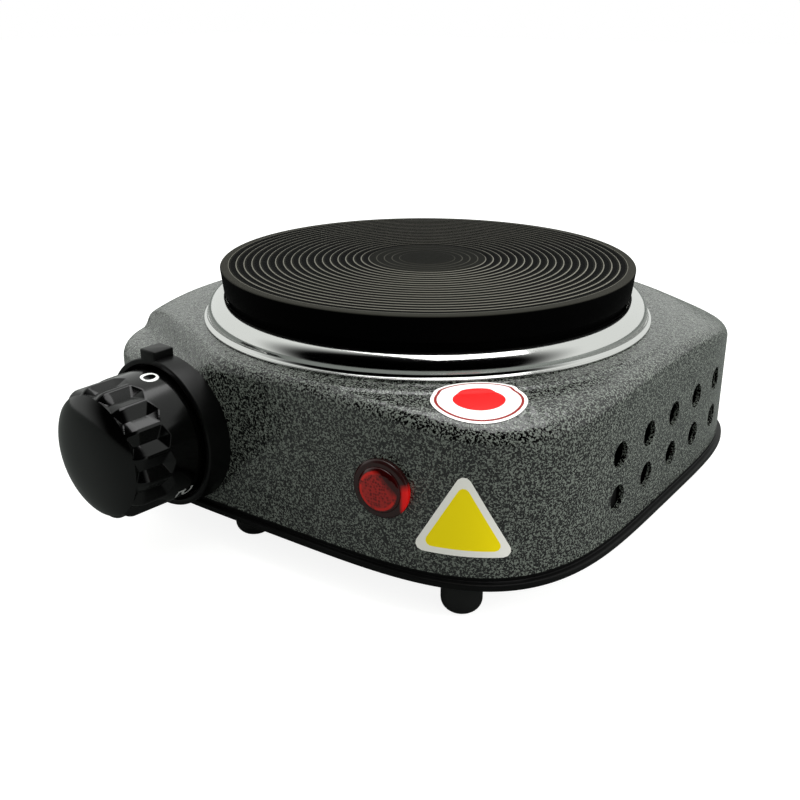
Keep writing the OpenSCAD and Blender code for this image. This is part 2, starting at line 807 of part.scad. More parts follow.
// Root blade with a side tail for the supply and a round groove for the arm's edge
module arm_terminal() {
  s_front = arm_s + blade_t / 2;
  color("#c8a050") on_control() {
    difference() {
      union() {
        blade(s_front, blade_t, -stack_y - 2.5, root_top + 0.4);
        translate([-blade_w / 2, -arm_hinge_y, arm_s]) rotate([0, 90, 0])
          cylinder(r = root_r, h = blade_w);
      }
      translate([-blade_w / 2 - 1, -arm_hinge_y, arm_s]) rotate([0, 90, 0])
        cylinder(r = knife_r + run_fit, h = blade_w + 2);
      translate([-blade_w / 2 - 1, -arm_hinge_y, arm_s])
        rotate([-90, 0, 0]) translate([0, -arm_t, 0])
          cube([blade_w + 2, 2 * arm_t, 2 * root_r]);
    }
    translate([-blade_w / 2 - tail_len, -stack_y - 2.5, s_front - blade_t])
      cube([tail_len, 3, blade_t]);
  }
}

// Swinging arm: knife edge at the foot, contact button at the top
module contact_arm() {
  color("#b87333") on_control() {
    translate([-blade_w / 2, -arm_hinge_y, arm_s]) rotate([0, 90, 0])
      cylinder(r = knife_r, h = blade_w);
    translate([-blade_w / 2, -arm_hinge_y, arm_s - arm_t / 2])
      cube([blade_w, arm_hinge_y + contact_y + contact_d / 2, arm_t]);
    translate([0, contact_y, 0])
      rod(contact_d / 2, arm_s - arm_t / 2 - contact_h, arm_s);
  }
}

module fixed_contact() {
  color("#c8a050") on_control() {
    blade(fixed_front, blade_t, -stack_y - 2.5, contact_y + contact_d / 2);
    translate([0, contact_y, 0])
      rod(contact_d / 2, fixed_front - blade_t / 2, fixed_front + contact_h);
    translate([blade_w / 2, -stack_y - 2.5, fixed_front - blade_t])
      cube([tail_len, 3, blade_t]);
  }
}

module bimetal_strip() {
  color("#a89878") on_control()
    blade(bimetal_front, bimetal_t, -stack_y - 2.5, contact_y);
}

knob_hub_s = bezel_web + bush_nut_h + 1.6;
// Hollow knob: skirt, low dome, hub with a bore that keeps the shaft's flat
module knob() {
  skirt_end = knob_dome_s - 2.5;
  dome_h = knob_len - knob_dome_s;
  dome_in = knob_dome_s - knob_wall;
  color("#101010") on_control() {
    difference() {
      rotate_extrude($fn = 96) polygon(concat(
        [[knob_r - knob_wall, knob_back_s], [knob_r, knob_back_s],
         [knob_r - 0.3, skirt_end]],
        arc(0, knob_dome_s, knob_dome_r, dome_h, 0, 90, 10),
        [[0, dome_in], [knob_dome_r - knob_wall, dome_in],
         [knob_r - knob_wall, skirt_end - knob_wall]]));
      for (i = [0 : flute_count - 1]) rotate([0, 0, 360 * (i + 0.5) / flute_count])
        translate([knob_r + flute_cut_r - flute_depth, 0, 0])
          rod(flute_cut_r, flute_s, knob_len + 1);
    }
    difference() {
      rod(hub_d / 2, knob_hub_s, dome_in + eps);
      difference() {
        rod(shaft_bore, knob_hub_s - 1, shaft_len + pass_gap);
        translate([shaft_flat + run_fit, -shaft_d, knob_hub_s - 2])
          cube([shaft_d, 2 * shaft_d, shaft_len + 3]);
      }
    }
  }
}

// Collar round the knob: its back follows the bowed wall
module bezel() {
  behind = 5;
  color("#1c1c1c") from_axis() difference() {
    on_wall(0, knob_x, knob_z) difference() {
      union() {
        rod(bezel_r, -behind, bezel_depth);
        translate([-tab_w * 0.8, bezel_r - bezel_wall, -behind])
          cube([tab_w, bezel_wall + tab_h, behind + bezel_depth]);
      }
      rod(bezel_r - bezel_wall, bezel_web, bezel_depth + 1);
      rod(bush_r_out + fix_fit, -behind - 1, bezel_web + 1);
    }
    plan(half + seat_gap, 0, plate_top_z);
    plan(half + lip_out + pass_gap, 0, floor_z + pass_gap);
  }
}

// ---- Pilot lamp ----

module on_lamp() {
  from_axis() on_wall(0, lamp_x, lamp_z) children();
}

lamp_barrel_r = lamp_barrel_d / 2;
lamp_bore_r = lamp_barrel_r - lamp_wall;
module lamp_lens() {
  front = seat_gap + lamp_flange_t;
  color("#b00808") on_lamp() rotate_extrude($fn = 64) polygon(concat(
    [[lamp_bore_r, -lamp_barrel_len], [lamp_barrel_r, -lamp_barrel_len],
     [lamp_barrel_r, seat_gap], [lamp_flange_d / 2, seat_gap],
     [lamp_flange_d / 2, front], [lamp_dome_d / 2, front]],
    arc(0, front, lamp_dome_d / 2 - 0.2, lamp_dome_h - front, 0, 90, 8),
    [[0, front - 0.2], [lamp_bore_r, front - 0.2]]));
}

plug_flange_t = 2;
module lamp_plug() {
  color("ivory") on_lamp() {
    rod(lamp_bore_r - run_fit, -lamp_barrel_len - 1, -lamp_barrel_len + 1);
    rod(lamp_barrel_r, -lamp_barrel_len - plug_flange_t, -lamp_barrel_len);
  }
}

module lamp_retainer() {
  face = -cover_wall - 0.6;
  color("silver") on_lamp()
    tube(lamp_barrel_r + 2.6, lamp_barrel_r + run_fit, face - 0.6, face);
}

module neon_bulb() {
  foot_s = -lamp_barrel_len + 1;
  tip_s = -bulb_d / 2;
  color("#e8a070") on_lamp() {
    rod(bulb_d / 2, foot_s, tip_s);
    translate([0, 0, tip_s]) sphere(r = bulb_d / 2 - 0.1);
  }
}

lamp_back = -lamp_barrel_len - plug_flange_t;
lead_x = 2;
lead_r = 0.7;
module lamp_resistor() {
  color("#c8b078") on_lamp() translate([lead_x, 0, 0])
    rod(resistor_d / 2, lamp_back - resistor_len, lamp_back);
}

// ---- Supply inlet, terminal block and earth ----

module cord_gland() {
  flange_t = 2;
  color("#181818") from_axis() on_wall(180, 0, gland_z) difference() {
    union() {
      rod(gland_d / 2, -gland_in, gland_out);
      rod(gland_d / 2 + 1.6, seat_gap, seat_gap + flange_t);
    }
    rod(gland_bore_d / 2, -gland_in - 1, gland_out + 1);
  }
}

module gland_nut() {
  color("#202020") from_axis() on_wall(180, 0, gland_z)
    hex_nut(gland_d + 4, gland_d / 2 + run_fit, -cover_wall - pass_gap - 3,
            -cover_wall - pass_gap);
}

way_z = floor_z + block_h / 2;
module at_ways() {
  for (i = [-1, 0, 1]) translate([cover_shift_x + block_pitch * i, block_y, 0])
    children();
}

module along_y(z) {
  translate([0, 0, z]) rotate([90, 0, 0]) children();
}

block_top_z = floor_z + block_h;
module terminal_block() {
  color("ivory") from_axis() difference() {
    translate([cover_shift_x - block_w / 2, block_y - block_d / 2, floor_z])
      cube([block_w, block_d, block_h]);
    at_ways() {
      along_y(way_z) rod(insert_d / 2 + fix_fit, -block_d, block_d);
      rod(insert_d / 2, way_z, block_top_z + 1);
    }
    translate([block_screw_x, block_y])
      rod(screw_d / 2 + fix_fit, floor_z - 1, block_top_z + 1);
  }
}

clamp_r = 1.3;
module block_inserts() {
  color("#c8a050") from_axis() at_ways() difference() {
    along_y(way_z) rod(insert_d / 2, -block_d / 2 + 1, block_d / 2 - 1);
    along_y(way_z) rod(insert_bore_d / 2, -block_d, block_d);
    rod(clamp_r + run_fit, way_z, block_top_z);
  }
}

// Clamp screws of the ways, and the long screw that holds the block down
module block_screws() {
  color("silver") from_axis() {
    at_ways() {
      rod(clamp_r, way_z + insert_bore_d / 4, block_top_z - 1);
      rod(clamp_r + 0.9, way_z + insert_d / 2 + pass_gap, block_top_z - 1);
    }
    translate([block_screw_x, block_y]) {
      rod(screw_d / 2, base_z - 1.5, block_top_z + 1);
      rod(screw_head_d / 2, block_top_z, block_top_z + screw_head_h);
    }
  }
}

earth_d = 4;
lug_t = 0.8;
module earth_screw() {
  color("silver") from_axis() translate(earth_at) {
    rod(earth_d / 2, base_z - 1, floor_z + lug_t + 4.5);
    rod(earth_d, base_z - 2, base_z);
  }
}

module earth_nut() {
  color("silver") from_axis() translate(earth_at)
    hex_nut(7, earth_d / 2 + run_fit, floor_z + lug_t, floor_z + lug_t + 3.2);
}

lug_r = 4;
lug_reach = 9;
// Ring lug whose tail points at the terminal block
module earth_lug() {
  color("#c8a050") from_axis() translate(earth_at) difference() {
    union() {
      rod(lug_r, floor_z, floor_z + lug_t);
      translate([-lug_reach, -1.5, floor_z]) cube([lug_reach, 3, lug_t]);
    }
    rod(earth_d / 2 + fix_fit, floor_z - 1, floor_z + lug_t + 1);
  }
}

// ---- Wires: eight-sided tubes swept along points chosen by hand ----

function unit(v) = v / norm(v);
function tangent(p, i) = unit(p[min(i + 1, len(p) - 1)] - p[max(i - 1, 0)]);
function side_of(d) = unit(abs(d[2]) > 0.8 ? cross(d, [0, 1, 0]) : cross(d, [0, 0, 1]));
function smooth(p) = [
  for (i = [0 : len(p) - 2], f = [0, 0.25, 0.5, 0.75])
    let (a = p[max(i - 1, 0)], b = p[i], c = p[i + 1], d = p[min(i + 2, len(p) - 1)])
      0.5 * (2 * b + f * (c - a) + f * f * (2 * a - 5 * b + 4 * c - d)
             + f * f * f * (3 * b - a - 3 * c + d)),
  p[len(p) - 1]
];

module wire(route, r = wire_r) {
  p = smooth(route);
  n = len(p);
  k = 8;
  // Each end is cut square to the route's first or last straight, so it lies flat
  first = unit(route[1] - route[0]);
  last = unit(route[len(route) - 1] - route[len(route) - 2]);
  rings = [
    for (i = [0 : n - 1])
      let (t = i == 0 ? first : i == n - 1 ? last : tangent(p, i),
           u = side_of(t), v = cross(t, u))
        for (j = [0 : k - 1]) p[i] + r * (cos(360 * j / k) * u + sin(360 * j / k) * v)
  ];
  sides = [
    for (i = [0 : n - 2], j = [0 : k - 1])
      [i * k + j, i * k + (j + 1) % k, (i + 1) * k + (j + 1) % k, (i + 1) * k + j]
  ];
  caps = [[for (j = [k - 1 : -1 : 0]) j], [for (j = [0 : k - 1]) (n - 1) * k + j]];
  polyhedron(rings, concat(sides, caps));
}

// Places that the routes pass: in front of a way of the block, by a frame on the
// front wall, under a plate terminal's tab, and at a share of the housing's half width
way_x = cover_shift_x;
way_front = block_y - block_d / 2;
function by_way(i, ahead, drop = 0) =
  [way_x + block_pitch * i, way_front - ahead, way_z - drop];
function by_wall(t, z, p) = let (a = wall_turn(t))
  [cover_shift_x + t + p[0] * cos(a) + p[2] * sin(a),
   cover_shift_y - wall_at(t) + p[0] * sin(a) - p[2] * cos(a), z + p[1]];
function by_control(x, y, s) = by_wall(knob_x, knob_z, [x, y, s]);
function by_lamp(x, y, s) = by_wall(lamp_x, lamp_z, [x, y, s]);
function by_tab(r, a, across, below) =
  [r * cos(a) - across * sin(a), r * sin(a) + across * cos(a), tab_bottom_z - below];
function inside(x, y, up) = [half * x, half * y, floor_z + up];

wire_in = 3;
tail_mid = -stack_y - 1;
tail_x = blade_w / 2 + tail_len - wire_r - 0.5;
arm_tail_s = arm_s - blade_t / 2;
fixed_tail_s = fixed_front - blade_t;
inner_turn = coil_start + terminal_in;

module live_wire() {
  color("saddlebrown") from_axis() wire([
    by_way(-1, -wire_in), by_way(-1, 2), inside(-0.2, 0.4, 5), inside(-0.34, 0.22, 3.7),
    inside(-0.59, -0.08, 3.7), inside(-0.68, -0.4, 3.7),
    by_control(-tail_x, tail_mid, arm_tail_s - 6), by_control(-tail_x, tail_mid, arm_tail_s)
  ]);
}

module load_wire() {
  color("black") from_axis() wire([
    by_control(tail_x, tail_mid, fixed_tail_s), by_control(tail_x, tail_mid, fixed_tail_s - 6),
    inside(-0.14, -0.5, 5.7), inside(0.09, -0.19, 8.7), by_tab(coil_first_r, inner_turn, -1, 8),
    by_tab(coil_first_r, inner_turn, 2.5, 3), by_tab(coil_first_r, inner_turn, 2.5, pass_gap)
  ]);
}

module neutral_wire() {
  color("royalblue") from_axis() wire([
    by_way(1, -wire_in), by_way(1, 2), inside(0.14, 0.4, 5.5), inside(0.28, 0.25, 6.7),
    inside(0.48, 0, 10), by_tab(last_turn_r, -inner_turn, 2.3, 3.5),
    by_tab(last_turn_r, -inner_turn, 2.3, pass_gap)
  ]);
}

module lamp_wires() {
  color("dimgray") from_axis() {
    wire([by_lamp(-lead_x, 0, lamp_back), by_lamp(-lead_x, 0, lamp_back - 5),
          inside(0.39, -0.37, 14.7), inside(0.33, -0.06, 14.2),
          by_tab(coil_first_r, inner_turn, -2.1, 3),
          by_tab(coil_first_r, inner_turn, -2.1, pass_gap)], lead_r);
    wire([by_lamp(lead_x, 0, lamp_back - resistor_len),
          by_lamp(lead_x, 0, lamp_back - resistor_len - 5),
          by_tab(last_turn_r, -inner_turn, -2.4, 3),
          by_tab(last_turn_r, -inner_turn, -2.4, pass_gap)], lead_r);
  }
}

module earth_wire() {
  over_lug = lug_t + wire_r + run_fit;
  color("yellowgreen") from_axis() wire([
    by_way(0, -wire_in), by_way(0, 2), by_way(0, 7, 3),
    [way_x + block_w / 4, way_front - 7, floor_z + 3],
    [way_x + block_w / 2 + 3, way_front - 3, floor_z + over_lug],
    [way_x + block_w / 2 + 5, earth_at[1] - 4, floor_z + over_lug],
    [earth_at[0] - lug_reach - 2, earth_at[1] - 0.5, floor_z + over_lug],
    [earth_at[0] - lug_reach + 1, earth_at[1], floor_z + over_lug]
  ]);
}

// ---- Labels ----

oval_r = ring_r + oval_gap + oval_d / 2;
module round_label() {
  color("white") from_axis() rotate([0, 0, -oval_angle]) translate([oval_r, 0, 0])
    intersection() {
      linear_extrude(plate_top_z) polygon(arc(0, 0, oval_d / 2, oval_w / 2, 0, 352.5, 47));
      translate([-oval_r, 0, 0]) difference() {
        translate([0, 0, label_t]) crown_solid(0);
        translate([0, 0, 0.02]) crown_solid(0);
      }
    }
}

module triangle_label() {
  corner_r = 1.5;
  arm = tri_side / sqrt(3) - 2 * corner_r;
  points = [
    for (i = [0 : 2], j = [0 : 4])
      let (a = 90 + 120 * i, b = a - 60 + 30 * j)
        [arm * cos(a) + corner_r * cos(b), arm * sin(a) + corner_r * sin(b)]
  ];
  color("gold") from_axis() intersection() {
    difference() {
      plan(half + seat_gap + label_t, cover_z, seat_z - 5);
      plan(half + seat_gap, cover_z - 1, seat_z);
    }
    on_wall(0, tri_x, tri_z) translate([0, 0, -8]) linear_extrude(12) polygon(points);
  }
}

top_cover();
base_plate();
feet();
corner_brackets();
base_screws();
hot_plate();
heating_coil();
insulating_cement();
backing_disc();
trim_ring();
center_stud();
spacer_sleeve();
heat_shield();
mounting_bridge();
stud_washer();
stud_nut();
terminal_bushes();
plate_terminals();
thermostat_frame();
thermostat_bush();
bush_nut();
shaft();
adjuster_pin();
stack_insulators();
stack_rivet();
arm_terminal();
contact_arm();
fixed_contact();
bimetal_strip();
knob();
bezel();
lamp_lens();
lamp_plug();
lamp_retainer();
neon_bulb();
lamp_resistor();
cord_gland();
gland_nut();
terminal_block();
block_inserts();
block_screws();
earth_screw();
earth_nut();
earth_lug();
live_wire();
load_wire();
neutral_wire();
lamp_wires();
earth_wire();
round_label();
triangle_label();
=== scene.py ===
# %% [markdown]
# A small single hot plate: a grooved cast-iron plate in a bright ring, on a squarish
# steel housing with hammertone paint, a fluted knob and a red pilot lamp.
# The construction comes from a CAD model. This script keeps that
# frame as it is and dresses it: shells and mouldings are modelled as meshes with their
# small roundings, and every surface gets a material made of nodes.

# %% Load the frame
import math

import bmesh
import bpy
import numpy as np
from mathutils import Matrix, Vector
from mathutils.kdtree import KDTree


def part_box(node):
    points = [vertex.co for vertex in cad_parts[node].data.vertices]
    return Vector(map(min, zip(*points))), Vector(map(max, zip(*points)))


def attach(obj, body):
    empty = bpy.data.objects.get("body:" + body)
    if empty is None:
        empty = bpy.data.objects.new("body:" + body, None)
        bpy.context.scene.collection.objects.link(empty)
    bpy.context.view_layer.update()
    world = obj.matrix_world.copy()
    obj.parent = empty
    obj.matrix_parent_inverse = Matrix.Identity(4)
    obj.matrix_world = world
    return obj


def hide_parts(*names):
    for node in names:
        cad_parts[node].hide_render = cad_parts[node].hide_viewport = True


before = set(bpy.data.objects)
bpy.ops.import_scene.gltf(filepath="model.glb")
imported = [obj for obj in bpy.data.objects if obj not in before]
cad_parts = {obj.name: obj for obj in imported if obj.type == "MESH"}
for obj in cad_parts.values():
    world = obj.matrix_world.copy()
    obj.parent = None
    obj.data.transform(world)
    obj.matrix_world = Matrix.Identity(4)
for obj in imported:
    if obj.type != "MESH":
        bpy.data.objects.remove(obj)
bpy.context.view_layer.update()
MM = 0.001
print("frame", len(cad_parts), "nodes")

# %% [markdown]
# Places come from the frame, so nothing has to be fitted by eye. The housing's plan is a
# superellipse: a square whose sides bow out a little and whose corners are round. The
# same formula gives the wall's place and slope wherever something is fixed to it, such
# as the knob and the lamp on the front wall.

# %% Plan of the housing
def box_mm(node):
    low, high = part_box(node)
    return np.array(low) / MM, np.array(high) / MM


cover_low, cover_high = box_mm("top_cover")
plate_low, plate_high = box_mm("hot_plate")
COVER = (cover_low + cover_high)[:2] / 2
AXIS = (plate_low + plate_high)[:2] / 2
HALF = (cover_high - cover_low)[0] / 2
SQUARENESS = 4.2
PLATE_TOP = plate_high[2]
PLATE_R = (plate_high - plate_low)[0] / 2


def wall_at(t, half=HALF):
    return half * (1 - abs(t / half) ** SQUARENESS) ** (1 / SQUARENESS)


def wall_turn(t):
    slope = (abs(t) / wall_at(t)) ** (SQUARENESS - 1)
    return math.copysign(math.atan(slope), t)


def outline(half, steps):
    a = full_turn(steps)
    p = 2 / SQUARENESS
    x = np.sign(np.cos(a)) * np.abs(np.cos(a)) ** p
    y = np.sign(np.sin(a)) * np.abs(np.sin(a)) ** p
    return np.stack([x, y], 1) * half + COVER


def front_frame(t, z):
    """Origin and the right, up and outward directions of a place on the front wall."""
    turn = wall_turn(t)
    origin = np.array([COVER[0] + t, COVER[1] - wall_at(t), z])
    right = np.array([math.cos(turn), math.sin(turn), 0])
    out = np.array([math.sin(turn), -math.cos(turn), 0])
    return origin, right, np.array([0.0, 0.0, 1.0]), out


KNOB_T, KNOB_Z = -27.0, 25.7
LAMP_T, LAMP_Z = 31.0, 26.8
ON_KNOB = front_frame(KNOB_T, KNOB_Z)
ON_LAMP = front_frame(LAMP_T, LAMP_Z)
print("housing", round(2 * HALF, 1), "mm wide, plate axis", AXIS.round(2))

# %% [markdown]
# Most pieces here are lofts: rings of points joined row by row. A turned piece is the
# special case where every ring is a circle. One function builds them all, closes their
# ends and marks the edges that should stay crisp. A turned end starts a pin's width off
# the axis, so that no ring shrinks to a point.

# %% Lofted and turned meshes
PIN = 0.05


def to_object(name, verts, faces, sharp=35):
    mesh = bpy.data.meshes.new(name)
    mesh.from_pydata((np.asarray(verts) * MM).tolist(), [], faces)
    bm = bmesh.new()
    bm.from_mesh(mesh)
    bmesh.ops.remove_doubles(bm, verts=bm.verts, dist=1e-7)
    bmesh.ops.recalc_face_normals(bm, faces=bm.faces)
    crease(bm, sharp)
    bm.to_mesh(mesh)
    bm.free()
    piece = bpy.data.objects.new(name, mesh)
    bpy.context.collection.objects.link(piece)
    return piece


def crease(bm, sharp):
    limit = math.radians(sharp)
    for face in bm.faces:
        face.smooth = True
    for edge in bm.edges:
        edge.smooth = len(edge.link_faces) != 2 or edge.calc_face_angle(0) < limit


def loft(name, rings, sharp=35, open_ends=False, loop=False):
    """Joins rings of equal length. The ends are closed with a fan unless told not to."""
    rings = np.asarray(rings, float)
    rows, cols = rings.shape[:2]
    verts = rings.reshape(-1, 3)
    faces = []
    for i in range(rows if loop else rows - 1):
        a, b = i * cols, (i + 1) % rows * cols
        faces += [(a + j, a + (j + 1) % cols, b + (j + 1) % cols, b + j) for j in range(cols)]
    if not open_ends and not loop:
        middles = rings[[0, -1]].mean(axis=1)
        first, last = rows * cols, rows * cols + 1
        verts = np.vstack([verts, middles])
        faces += [(first, (j + 1) % cols, j) for j in range(cols)]
        end = (rows - 1) * cols
        faces += [(last, end + j, end + (j + 1) % cols) for j in range(cols)]
    return to_object(name, verts, faces, sharp)


def full_turn(steps):
    return np.linspace(0, 2 * math.pi, steps, endpoint=False)


def around(place, angle, radius, height):
    """Points about the axis of a place, which is origin, right, up and out."""
    origin, right, up, out = place
    circle = np.cos(angle)[:, None] * right + np.sin(angle)[:, None] * up
    return origin + np.reshape(radius, (-1, 1)) * circle + np.reshape(height, (-1, 1)) * out


def turned(name, profile, place, steps=192, sharp=35, loop=False):
    """Turns (radius, height) points about the axis of a place."""
    a = full_turn(steps)
    return loft(name, [around(place, a, r, s) for r, s in profile], sharp, loop=loop)


def arc(cx, cy, rx, ry, start, end, steps):
    """Points of an elliptic arc, angles in degrees."""
    angles = np.radians(np.linspace(start, end, steps + 1))
    return [(cx + rx * math.cos(t), cy + ry * math.sin(t)) for t in angles]


ON_PLATE = (np.array([*AXIS, 0.0]), *np.eye(3))
print("turned pieces get", len(full_turn(192)), "steps a turn unless told otherwise")

# %% [markdown]
# A camera stands at the front right, a little above the plate, with a normal lens. It is
# set from its place and the three directions of its view, measured from the plate's axis.

# %% Camera
CAMERA_AT = (137.22, -203.42, 114.95)
CAMERA_RIGHT = (0.81361, 0.58142, 0.0)
CAMERA_UP = (-0.21037, 0.29439, 0.93224)
LENS = 46.0

camera = bpy.data.objects.new("camera", bpy.data.cameras.new("camera"))
bpy.context.collection.objects.link(camera)
bpy.context.scene.camera = camera
right, up = Vector(CAMERA_RIGHT).normalized(), Vector(CAMERA_UP).normalized()
turn = Matrix((right, up, right.cross(up))).transposed().to_4x4()
spot = Vector((CAMERA_AT[0] + AXIS[0], CAMERA_AT[1] + AXIS[1], CAMERA_AT[2])) * MM
camera.matrix_world = Matrix.Translation(spot) @ turn
camera.data.lens = LENS
camera.data.sensor_width = 36
camera.data.clip_start = 0.01
print("camera at", [round(v, 4) for v in spot])

# %% [markdown]
# The light is a studio: a wide soft box over the object, and a second one at the right
# that lifts the vented wall. The second stays out of the mirrors, because the bright
# ring would show it as a hard patch.

# %% Studio
LIT_SPOT = (0, 0, 0.03)


def soft_box(name, at, size, power):
    lamp = bpy.data.lights.new(name, "AREA")
    lamp.shape = "RECTANGLE"
    lamp.size, lamp.size_y = size
    lamp.energy = power
    box = bpy.data.objects.new(name, lamp)
    box.location = at
    aim = Vector(LIT_SPOT) - Vector(at)
    box.rotation_euler = aim.to_track_quat("-Z", "Y").to_euler()
    bpy.context.collection.objects.link(box)
    return box


top_box = soft_box("top_box", (0.05, 0.10, 0.80), (0.7, 0.5), 3.0)
right_box = soft_box("right_box", (0.75, 0.25, 0.30), (0.3, 0.4), 4.0)
right_box.visible_glossy = False
print("soft boxes of", top_box.data.energy, "and", right_box.data.energy, "W")

# %% [markdown]
# Four small helpers serve every material. Colours are written as the hex values that a
# screen shows, and one function turns them to the linear values that a render needs. One
# function adds a node with its settings and links. The third makes a material around a
# Principled shader, with the piece's own Object coordinates for its patterns. The last
# puts it on a finished piece.

# %% Material helpers
def colour(hex_value):
    parts = [int(hex_value[i:i + 2], 16) / 255 for i in (1, 3, 5)]
    linear = [c / 12.92 if c <= 0.04045 else ((c + 0.055) / 1.055) ** 2.4 for c in parts]
    return (*linear, 1.0)


def add(tree, kind, inputs=None, **settings):
    """Adds a node. A node given as an input stands for its first output."""
    node = tree.nodes.new(kind)
    for key, value in settings.items():
        setattr(node, key, value)
    for key, value in (inputs or {}).items():
        if isinstance(value, bpy.types.Node):
            value = value.outputs[0]
        if isinstance(value, bpy.types.NodeSocket):
            tree.links.new(value, node.inputs[key])
        else:
            node.inputs[key].default_value = value
    return node


def material(name, recipe, source="Object"):
    made = bpy.data.materials.new(name)
    made.use_nodes = True
    tree = made.node_tree
    tree.nodes.clear()
    coords = add(tree, "ShaderNodeTexCoord").outputs[source]
    shader = add(tree, "ShaderNodeBsdfPrincipled", recipe(tree, coords))
    add(tree, "ShaderNodeOutputMaterial", {"Surface": shader})
    print("material", name, "with", len(tree.nodes), "nodes")
    return made


def dress(piece, surface):
    """Gives a piece its one material and says how large its mesh is."""
    piece.data.materials.clear()
    piece.data.materials.append(surface)
    print(piece.name, len(piece.data.polygons), "faces")


print("white is", colour("#ffffff"))

# %% [markdown]
# The floor is a light table: it glows white, so only a faint shadow is left on it. What
# it throws back on the object is greyer, as from a table that fills the lower half of
# the room.

# %% Floor
FLOOR, GLOW = 3.0, 0.86
floor_mesh = bpy.data.meshes.new("floor")
floor_mesh.from_pydata(
    [(-FLOOR, -FLOOR, 0), (FLOOR, -FLOOR, 0), (FLOOR, FLOOR, 0), (-FLOOR, FLOOR, 0)],
    [], [(0, 1, 2, 3)])
floor = bpy.data.objects.new("floor", floor_mesh)
bpy.context.collection.objects.link(floor)

table = bpy.data.materials.new("light_table")
table.use_nodes = True
tree = table.node_tree
tree.nodes.clear()
rays = add(tree, "ShaderNodeLightPath")
paper = add(tree, "ShaderNodeBsdfDiffuse", {"Color": colour("#9a9a98")})
glow = add(tree, "ShaderNodeEmission", {"Color": (1, 1, 1, 1), "Strength": GLOW})
lit_paper = add(tree, "ShaderNodeAddShader", {0: paper, 1: glow})
dim = add(tree, "ShaderNodeBsdfDiffuse", {"Color": colour("#666967")})
both = add(tree, "ShaderNodeMixShader", {
    0: rays.outputs["Is Camera Ray"], 1: dim, 2: lit_paper})
add(tree, "ShaderNodeOutputMaterial", {"Surface": both})
floor_mesh.materials.append(table)
print("floor", 2 * FLOOR, "m wide")

# %% [markdown]
# The room is white, but dark on the side that the camera stands on. Black lacquer and
# bright steel need that contrast: they show the room, not a colour of their own. Matt
# surfaces get some even fill on top.

# %% Room
DARK_SIDE = (0.40, -0.80, 0.45)
DARKENS_FROM, DARK_AT = 0.08, 0.62
ROOM_WHITE, FILL = 0.85, 0.9

world = bpy.data.worlds.new("studio")
bpy.context.scene.world = world
world.use_nodes = True
room = world.node_tree
room.nodes.clear()
rays = add(room, "ShaderNodeLightPath")
place = add(room, "ShaderNodeTexCoord").outputs["Generated"]
facing = add(room, "ShaderNodeVectorMath", {0: place, 1: DARK_SIDE}, operation="DOT_PRODUCT")
bright = add(room, "ShaderNodeMapRange", {
    "Value": facing.outputs["Value"], "From Min": DARKENS_FROM, "From Max": DARK_AT,
    "To Min": ROOM_WHITE, "To Max": 0.0}, interpolation_type="SMOOTHSTEP")
fill = add(room, "ShaderNodeMath", {
    0: rays.outputs["Is Diffuse Ray"], 1: FILL, 2: bright}, operation="MULTIPLY_ADD")
seen = add(room, "ShaderNodeBackground", {"Color": (1, 1, 1, 1), "Strength": 1.0})
lit = add(room, "ShaderNodeBackground", {"Color": (0.97, 1.0, 0.97, 1), "Strength": fill})
mixed = add(room, "ShaderNodeMixShader", {
    0: rays.outputs["Is Camera Ray"], 1: lit, 2: seen})
add(room, "ShaderNodeOutputWorld", {"Surface": mixed})
bpy.context.scene.view_settings.view_transform = "Standard"
print("room", world.name, "with", len(room.nodes), "nodes")

# %% [markdown]
# **Hammertone enamel.** The housing is pressed steel sprayed with a paint whose silicone
# pushes the metal pigment into little worms while it dries. The eye sees a near-black
# coat with fine pale squiggles, under half a millimetre wide, under a gloss. A twisted
# noise makes them: where its value is high, there is a worm that stands a little proud.
# A slower noise under it gives the wet coat its shallow dimples. The metal in the coat
# makes it mirror more than a plain lacquer, so its specular level is high.

# %% Hammertone enamel
WORM_PITCH, WORM_HIGH = 0.4 * MM, 0.05 * MM
WORM_FROM, WORM_FULL = 0.49, 0.57
DIMPLE_PITCH, DIMPLE_DEEP = 1.7 * MM, 0.35 * MM


def hammertone(tree, coords):
    cells = add(tree, "ShaderNodeTexNoise", {
        "Vector": coords, "Scale": 1 / WORM_PITCH, "Detail": 1.5, "Roughness": 0.5,
        "Distortion": 0.7})
    worm = add(tree, "ShaderNodeMapRange", {
        "Value": cells, "From Min": WORM_FROM, "From Max": WORM_FULL},
        interpolation_type="SMOOTHSTEP")
    paint = add(tree, "ShaderNodeMix", {
        "Factor": worm, 6: colour("#000000"), 7: colour("#676c65")}, data_type="RGBA")
    rough = add(tree, "ShaderNodeMapRange", {
        "Value": worm, "To Min": 0.16, "To Max": 0.22})
    dimples = add(tree, "ShaderNodeTexNoise", {
        "Vector": coords, "Scale": 1 / DIMPLE_PITCH, "Detail": 1.0, "Distortion": 0.4})
    wavy = add(tree, "ShaderNodeBump", {
        "Height": dimples, "Strength": 0.5, "Distance": DIMPLE_DEEP})
    bump = add(tree, "ShaderNodeBump", {
        "Height": worm, "Strength": 0.8, "Distance": WORM_HIGH, "Normal": wavy})
    return {"Base Color": paint.outputs[2], "Roughness": rough,
            "Specular IOR Level": 1.0, "Normal": bump}


HAMMERTONE = material("hammertone_enamel", hammertone)
